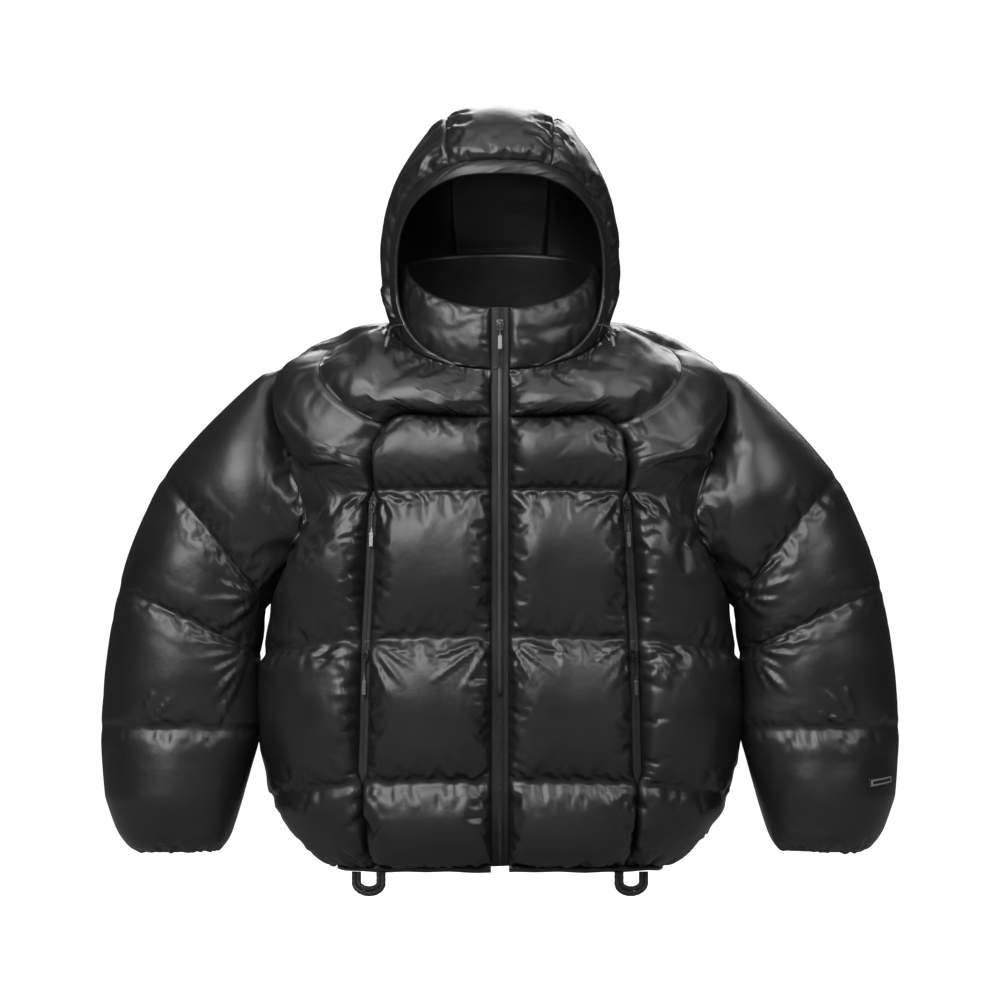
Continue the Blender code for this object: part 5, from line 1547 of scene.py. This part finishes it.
def hem(look):
    turns = hem_ring()
    random = np.random.RandomState(SEED + 1)
    share = np.linspace(0, 1, HEM_CASING_POINTS[0])[:, None]
    at_hem = np.full(len(turns), float(HEM))
    top, edge = ring_point(BODY_RINGS, turns, at_hem), ring_outward(BODY_RINGS, turns, at_hem)
    flat = unit(edge * np.array([1, 1, 0]))
    along = seam_distance(np.stack([top, top], 0), 1, 0)[:1]
    wave = 0.5 * np.sin(along / 23.0) + 0.4 * np.sin(along / 9.1 + 1.0)
    drop = HEM_CASING_HEIGHT * share - wave * share * (share > 0)
    inside = top[None] - drop[..., None] * np.array([0, 0, 1])
    inside[:, 0, 0], inside[:, -1, 0] = ZIP_HALF, -ZIP_HALF
    outward = unit(edge[None] * (1 - share)[..., None] + flat[None] * share[..., None])
    lifted = puckers(np.repeat(along, len(share), 0), share, *HEM_PUCKERS, random)
    height = SEAM_WALL + 2.4 * np.sin(math.pi * share**0.8) ** 0.8 + lifted
    outside = inside + outward * height[..., None]
    mesh = wall_mesh("hem_casing_cloth", inside, outside, outward, False, every=2)
    thing = add("hem_casing_cloth", mesh, [look["nylon"], look["lining_painted_shade"]], ["hem_casing"])
    return outside, outward


# ---------------------------------------------------------------- zips and patch


def zip_path():
    """The front centre from the collar's top to the hem, on the plain inside: y and z."""
    upper = ring_point(COLLAR_RINGS, np.zeros(5), np.array([3, 2.6, 1.6, 0.8, 0]))
    places = np.concatenate([ARMHOLE_TOP * even_baffle(5), centre_front_places()[1:, 0]])
    lower = ring_point(BODY_RINGS, np.zeros(len(places)), places)
    path = np.concatenate([upper, lower])[:, 1:]
    return along_rows(path, np.linspace(0, len(path) - 1, 5 * (len(path) - 1) + 1))


def zip_grid(xs, path):
    down = np.gradient(path, axis=0)
    outward = unit(np.stack([np.zeros(len(path)), down[:, 1], -down[:, 0]], -1))
    points = np.stack([np.insert(path, 0, x, axis=1) for x in xs], 1)
    return points, np.repeat(outward[:, None], len(xs), 1)


def tape(name, inside, outward, thickness, finish, replaced=()):
    outside = inside + outward * thickness[..., None]
    mesh = wall_mesh(name, inside, outside, outward, False, every=2)
    return outside, add(name, mesh, [finish, finish], replaced)


def front_zip(look):
    """The two tapes, and the smooth strip that lies over the zip's teeth."""
    path = zip_path()
    strip = path[(path[:, 1] < GUARD_ENDS[0]) & (path[:, 1] > GUARD_ENDS[1])]
    xs = np.linspace(*GUARD_SPAN, 9)
    points, outward = zip_grid(xs, strip)
    points = points + outward * (CHAIN_WALL + 0.9)
    crown = 0.55 * np.sin(math.pi * np.linspace(0, 1, len(xs))) ** 0.6
    wave = 0.25 * np.sin(strip[:, 1] / 17.0) + 0.18 * np.sin(strip[:, 1] / 6.3)
    height = GUARD_WALL + crown[None] + wave[:, None] * crown[None]
    _, guard = tape("zip_guard_cloth", points, outward, height, look["satin"])
    xs = np.array([0, 1.2, 2.4, 3.4, 4.4, 5.6, 7.6, 9.4, 11])
    walls = np.interp(xs, (0, 3.4, 4.6, 11), (CHAIN_WALL, CHAIN_WALL, TAPE_WALL, TAPE_WALL))
    for (side, flip), on_it in zip(SIDES, ([guard], [])):
        points, outward = zip_grid(flip[0] * xs, path)
        name = f"zip_tape_{side}"
        walls_down = np.broadcast_to(walls, points.shape[:2])
        _, thing = tape(f"{name}_cloth", points, outward, walls_down, look["tape"], [name])
    return path


def pocket_zips(look):
    seams = []
    for level, top, end in (("upper", FIRST_LINE, SECOND_LINE), ("lower", SECOND_LINE, THIRD_LINE)):
        places = centre_front_places()[:, -1]
        places = places[(places >= top - 0.01) & (places <= end + 0.01)]
        seam_x = along_rows(BODY_RINGS, places)[:, 7]
        half = pocket_gap(places)
        rows = np.linspace(0, len(places) - 1, 60)
        known = np.arange(len(seam_x))
        places, seam_x, half = (np.interp(rows, known, line) for line in (places, seam_x, half))
        spread = np.linspace(-1, 1, 9)
        xs = seam_x[:, None] + half[:, None] * spread
        inside, outward = body_wall(turn_at(xs, places[:, None]), np.repeat(places[:, None], 9, 1))
        wall = TAPE_WALL + (CHAIN_WALL - TAPE_WALL) * (1 - np.abs(spread)) ** 0.7
        thickness = np.broadcast_to(wall, inside.shape[:2])
        for side, flip in SIDES:
            name = f"pocket_tape_{level}_{side}"
            outside, thing = tape(
                f"{name}_cloth", inside * flip, outward * flip, thickness, look["satin"], [name]
            )
            seams.append((outside[:, 4], outward[:, 4] * flip))
    return seams


def patch(look, sleeve_shown):
    """The plain patch on the left cuff: a dark field inside a light sewn edge."""
    _, outside, outward = sleeve_shown
    rows, columns = patch_places()
    foot = read_at(outside, 2 * rows, 2 * columns)
    ways = unit(read_at(outward, 2 * rows, 2 * columns))
    foot = foot + ways * PATCH_OFF
    mesh = wall_mesh("cuff_patch_cloth", foot, foot + ways * PATCH_WALL, ways, False, every=2)
    thing = add("cuff_patch_cloth", mesh, [look["patch"], look["patch"], look["edging"]], ["cuff_patch"])
    wide, high = foot.shape[1] - 1, foot.shape[0] - 1
    for polygon in mesh.polygons[: wide * high]:
        row, column = divmod(polygon.index, wide)
        row_in = min(row, high - 1 - row) - PATCH_SEW_IN[0]
        column_in = min(column, wide - 1 - column) - PATCH_SEW_IN[1]
        if min(row_in, column_in) >= 0 and (row_in < PATCH_SEW[0] or column_in < PATCH_SEW[1]):
            polygon.material_index = 2


def metal_piece(node, look, body=BODY):
    """A slider or pull: the frame's own shape with its edges rounded; a pull's lower end is painted lighter
    as a highlight.
    """
    shape = bmesh.new()
    shape.from_mesh(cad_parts[node].data)
    bmesh.ops.remove_doubles(shape, verts=shape.verts, dist=0.02 * MM)
    flat_angle, sharp_angle = math.radians(FLAT_ANGLE), math.radians(SHARP_ANGLE)
    bmesh.ops.dissolve_limit(shape, angle_limit=flat_angle, verts=shape.verts, edges=shape.edges)
    sharp = [edge for edge in shape.edges if edge.is_manifold and edge.calc_face_angle() > sharp_angle]
    rounding = {"offset": EDGE_ROUND * MM, "segments": 2, "profile": 0.5}
    bmesh.ops.bevel(shape, geom=sharp, affect="EDGES", clamp_overlap=True, **rounding)
    mesh = bpy.data.meshes.new(f"{node}_metal")
    shape.to_mesh(mesh)
    shape.free()
    places = np.array([vertex.co[:] for vertex in mesh.vertices])
    # painted highlight: a pull's lowest 16 mm takes the lighter metal colour, fading out by 19 mm
    if "pull" in node:
        above_end = (places[:, 2] - places[:, 2].min()) / MM
        worn = np.clip((19 - above_end) / 3, 0, 1)
    else:
        worn = 0.45
    mark_wear_and_highlight(mesh, worn)
    add(f"{node}_metal", mesh, [look["metal"]], [node], body)
    for polygon in mesh.polygons:
        polygon.use_smooth = False


def ring_mesh(name, middle, axis, wide, thick):
    """A torus: its middle, axis, and the widths of its ring and of its wall."""
    axis = unit(np.asarray(axis, float))
    side = unit(np.cross(axis, [0.2, 0.3, 1]))
    other = np.cross(axis, side)
    turn = np.linspace(0, 2 * math.pi, RING_SIDES[0], endpoint=False)[:, None, None]
    round_wall = np.linspace(0, 2 * math.pi, RING_SIDES[1], endpoint=False)[None, :, None]
    spoke = np.cos(turn) * side + np.sin(turn) * other
    out = np.cos(round_wall) * spoke + np.sin(round_wall) * axis
    points = middle + spoke * (wide - thick) / 2 + out * thick / 2
    index = np.arange(math.prod(RING_SIDES)).reshape(RING_SIDES)
    below = np.roll(index, -1, 0)
    quads = np.stack([index, below, np.roll(below, -1, 1), np.roll(index, -1, 1)], -1).reshape(-1, 4)
    if not faces_outward(points, out, quads):
        quads = quads[:, ::-1]
    mesh = mesh_of(name, points, quads.tolist())
    mark_wear_and_highlight(mesh, 0.5)
    return mesh


# ---------------------------------------------------------------- cords


def evenly(path, step):
    length = run_length(path)
    places = np.linspace(0, length[-1], int(length[-1] / step) + 1)
    return np.stack([np.interp(places, length, path[:, axis]) for axis in range(3)], -1), length[-1]


def braided(strands, pitch, depth):
    """The relief of a braid: two sets of strands that cross."""

    def relief(along, angle):
        one = np.cos(strands * angle + 2 * math.pi * along / pitch)
        two = np.cos(strands * angle - 2 * math.pi * along / pitch)
        return depth * (np.maximum(one, two) - 0.7)

    return relief


def cord(name, route, step, diameter, sides, relief, look, **facts):
    """A free cord along a route, with its real length and diameter."""
    path, length = evenly(route, step)
    mesh = tube_mesh(f"{name}_braid", path, diameter / 2, sides, relief)
    thing = add(f"{name}_braid", mesh, [look["braid"]], [name])


def hem_cords(look):
    foot_z = BODY_RINGS[HEM][0] - HEM_CASING_HEIGHT
    point, outward = body_wall(turn_at(HEM_CORD_X, np.float64(HEM)), np.float64(HEM))
    facing = math.atan2(outward[0], -outward[1])
    across = np.array([math.cos(facing), math.sin(facing), 0])
    middle = np.array([HEM_CORD_X, point[1], 0]) + unit(outward * np.array([1, 1, 0])) * SEAM_WALL / 2
    for side, flip in SIDES:
        for strand, half in HEM_CORD_HALVES.items():
            drop = HEM_CORD_DROP[strand]
            straight = drop - half * HEM_CORD_ROUND[strand]
            angles = np.linspace(0, math.pi, 41)
            start = foot_z - SEAM_GAP
            lows = np.concatenate([[start], start - straight - (drop - straight) * np.sin(angles), [start]])
            asides = np.concatenate([[half], half * np.cos(angles), [-half]])
            route = middle + across * asides[:, None] + np.array([0, 0, 1]) * lows[:, None]
            name = f"hem_cord_{strand}_{side}"
            cord(name, route * flip, 0.55, HEM_CORD, 24, braided(4, 7.0, 0.22), look, far_end="object")


def tip_mesh(name, start, way):
    """A moulded cord end: a slim cone with a rounded foot, along way from start."""
    profile = ((0, 0.72), (0.03, 0.95), (0.1, 1), (0.9, 1), (0.97, 0.9), (1, 0.6))
    side = unit(np.cross(way, [0.3, 1, 0.2]))
    other = np.cross(way, side)
    angle = np.linspace(0, 2 * math.pi, TIP_SIDES, endpoint=False)[:, None]
    spoke = np.cos(angle) * side + np.sin(angle) * other
    rings = []
    for share, fullness in profile:
        radius = (TIP_WIDTHS[0] + (TIP_WIDTHS[1] - TIP_WIDTHS[0]) * share) / 2 * fullness
        rings.append(start + way * TIP_LENGTH * share + spoke * radius)
    points = np.array(rings)
    quads = quads_of(len(profile), TIP_SIDES, True)
    flip = not faces_outward(points, np.repeat(spoke[None], len(profile), 0), quads)
    faces = [tuple(q) for q in quads.tolist()] + round_ends(len(profile), TIP_SIDES)
    if flip:
        faces = [face[::-1] for face in faces]
    mesh = mesh_of(name, points, faces)
    mark_wear_and_highlight(mesh, 0.4)
    return mesh


def hood_cords(look):
    for side, flip in SIDES:
        corners = np.array(HOOD_CORD_ROUTE, float) * flip
        route = along_rows(corners, np.linspace(0, len(corners) - 1, 61))
        way = unit(route[-1] - route[-5])
        name = f"hood_cord_tip_{side}"
        moulded = tip_mesh(name, route[-1] + way * SEAM_GAP, way)
        tip = add(f"{name}_moulded", moulded, [look["plastic"]], [name])
        ends = {"far_end": "fitting", "with_pieces": [tip]}
        cord(f"hood_cord_{side}", route, 0.4, HOOD_CORD, 20, braided(3, 4.0, 0.12), look, **ends)
        eyelet = ring_mesh(f"hood_eyelet_{side}", route[0] + way * 0.4, route[6] - route[0], 7.4, 1.7)
        add(f"hood_eyelet_{side}", eyelet, [look["metal"]], ())


# ---------------------------------------------------------------- teeth and stitches


def repeat_tree():
    """Small rounded pieces, evenly spaced along lines and turned to the cloth under them."""
    tree = bpy.data.node_groups.new("pieces_along_lines", "GeometryNodeTree")
    kinds = {"Lines": "Geometry", "Spacing": "Float", "Size": "Vector", "Finish": "Material"}
    for label, kind in kinds.items():
        tree.interface.new_socket(name=label, in_out="INPUT", socket_type=f"NodeSocket{kind}")
    tree.interface.new_socket(name="Pieces", in_out="OUTPUT", socket_type="NodeSocketGeometry")
    given, out = tree.nodes.new("NodeGroupInput").outputs, tree.nodes.new("NodeGroupOutput").inputs
    curve = wired(tree, "GeometryNodeMeshToCurve", Mesh=given["Lines"]).outputs["Curve"]
    by_length = {"mode": "LENGTH"}
    points = wired(tree, "GeometryNodeCurveToPoints", by_length, Curve=curve, Length=given["Spacing"]).outputs
    vector = {"data_type": "FLOAT_VECTOR"}
    off = wired(tree, "GeometryNodeInputNamedAttribute", vector, Name="outward").outputs[0]
    axes = {"primary_axis": "Z", "secondary_axis": "Y"}
    turn = wired(tree, "FunctionNodeAxesToRotation", axes, n0=points["Tangent"], n1=off).outputs[0]
    bead = wired(tree, "GeometryNodeMeshUVSphere", Segments=6, Rings=4, Radius=0.5).outputs["Mesh"]
    laid = {"Points": points["Points"], "Instance": bead, "Rotation": turn, "Scale": given["Size"]}
    placed_pieces = wired(tree, "GeometryNodeInstanceOnPoints", **laid).outputs[0]
    real = wired(tree, "GeometryNodeRealizeInstances", Geometry=placed_pieces).outputs[0]
    done = wired(tree, "GeometryNodeSetMaterial", Geometry=real, Material=given["Finish"]).outputs[0]
    tree.links.new(done, out["Pieces"])
    return tree


def repeat_along(name, lines, step, size, material, worn=None):
    """One mesh of pieces along many lines, which are (points, outward directions) in mm."""
    tree = bpy.data.node_groups.get("pieces_along_lines") or repeat_tree()
    places = np.concatenate([line for line, _ in lines])
    ways = np.concatenate([way for _, way in lines])
    edges, start = [], 0
    for line, _ in lines:
        edges += [(start + k, start + k + 1) for k in range(len(line) - 1)]
        start += len(line)
    mesh = mesh_of("lines", places, [], edges)
    mesh.attributes.new("outward", "FLOAT_VECTOR", "POINT").data.foreach_set("vector", ways.ravel())
    carrier = linked("lines", mesh)
    change = carrier.modifiers.new("repeat", "NODES")
    change.node_group = tree
    sockets = {item.name: item.identifier for item in tree.interface.items_tree if item.in_out == "INPUT"}
    change[sockets["Spacing"]] = step * MM
    change[sockets["Size"]] = tuple(length * MM for length in size)
    change[sockets["Finish"]] = material
    graph = bpy.context.evaluated_depsgraph_get()
    made = bpy.data.meshes.new_from_object(carrier.evaluated_get(graph))
    bpy.data.objects.remove(carrier, do_unlink=True)
    made.name = name
    if worn is not None:
        mark_wear_and_highlight(made, worn)
    add(name, made, [material], ())


def lifted(points, ways, height):
    return points + ways * height, ways


def teeth(look, path, pocket_seams):
    lines = []
    for x, shift in ((1.0, 0.0), (-1.0, TOOTH_STEP / 2)):
        places, outward = zip_grid([x], path)
        line = places[:, 0] + outward[:, 0] * (CHAIN_WALL + 0.15)
        start = line[0] + unit(line[1] - line[0]) * (shift + 0.5)
        line = np.concatenate([[start], line[2:-1]])
        lines.append((line, np.concatenate([outward[:1, 0], outward[2:-1, 0]])))
    lines += [lifted(line[2:-2], outward[2:-2], 0.1) for line, outward in pocket_seams]
    repeat_along("zip_teeth", lines, TOOTH_STEP, TOOTH, look["coil"], worn=0.4)


def stitches(look, shown, rim_shown, hem_shown):
    """The sewing: along each quilting line, the hood's casing, the hem and the front zip's tapes."""
    lines = []
    for grid, outside, outward in shown.values():
        for row in grid.lines:
            points, ways = outside[2 * row], outward[2 * row]
            if grid.closed:
                points, ways = np.concatenate([points, points[:1]]), np.concatenate([ways, ways[:1]])
            lines.append(lifted(points, ways, 0.15))
    lines.append(lifted(*(part[4:-4, 2] for part in rim_shown), 0.1))
    lines.append(lifted(*(part[2, 3:-3] for part in hem_shown), 0.1))
    for sign in (1, -1):
        on_tape = zip_grid([sign * TAPE_STITCH_X], zip_path())
        lines.append(lifted(*(part[3:-3, 0] for part in on_tape), TAPE_WALL + 0.1))
    repeat_along("seam_stitches", lines, STITCH_STEP, STITCH, look["thread"])


# ---------------------------------------------------------------- studio


def area_light(name, place, wide, high, power):
    light = bpy.data.lights.new(name, "AREA")
    light.energy = power
    light.shape = "RECTANGLE"
    light.size, light.size_y = wide, high
    thing = linked(name, light)
    thing.location = place
    thing.rotation_euler = (Vector(LIGHT_TARGET) - Vector(place)).to_track_quat("-Z", "Y").to_euler()


def floor():
    made, tree, shader = new_material("pale_floor")
    uniform(shader, Base_Color=(0.25, 0.25, 0.25, 1), Roughness=0.9, Emission_Color=(1, 1, 1, 1))
    seen = tree.nodes.new("ShaderNodeLightPath").outputs["Is Camera Ray"]
    tree.links.new(sum_of(tree, "MULTIPLY", seen, FLOOR_GLOW), shader.inputs["Emission Strength"])
    mesh = bpy.data.meshes.new("floor")
    corners = ((-1, -1), (1, -1), (1, 1), (-1, 1))
    places = [(x * FLOOR_REACH, y * FLOOR_REACH, FLOOR_Z) for x, y in corners]
    mesh.from_pydata(places, [], [(0, 1, 2, 3)])
    mesh.materials.append(made)
    linked("floor", mesh)


def studio():
    scene = bpy.context.scene
    world = bpy.data.worlds.new("studio")
    scene.world = world
    world.use_nodes = True
    background = world.node_tree.nodes["Background"]
    background.inputs["Color"].default_value = (1, 1, 1, 1)
    seen = world.node_tree.nodes.new("ShaderNodeLightPath").outputs["Is Camera Ray"]
    strength = sum_of(world.node_tree, "MULTIPLY_ADD", seen, FLOOR_GLOW, WORLD_LIGHT)
    world.node_tree.links.new(strength, background.inputs["Strength"])
    floor()
    for light in LIGHTS:
        area_light(*light)
    camera = bpy.data.cameras.new("camera")
    camera.lens = 36 * CAMERA_DISTANCE / VIEW_WIDTH
    camera.clip_end = 100
    thing = linked("camera", camera)
    thing.location = (0, -CAMERA_DISTANCE, VIEW_MIDDLE_Z)
    thing.rotation_euler = (math.pi / 2, 0, 0)
    scene.camera = thing
    scene.view_settings.view_transform = "Standard"


def main():
    studio()
    look = build_materials()
    hem_cords(look)
    hood_cords(look)
    shown = padded_panels(look)
    rim_shown = rim(look)
    hem_shown = hem(look)
    path = front_zip(look)
    pocket_seams = pocket_zips(look)
    patch(look, shown["sleeve_left"])
    teeth(look, path, pocket_seams)
    stitches(look, shown, rim_shown, hem_shown)
    metal_piece("zip_slider", look)
    metal_piece("zip_pull", look, "zip_pull_body")
    for level in POCKETS:
        for side, _ in SIDES:
            metal_piece(f"pocket_slider_{level}_{side}", look)
            metal_piece(f"pocket_pull_{level}_{side}", look, f"pocket_pull_{level}_{side}_body")


main()
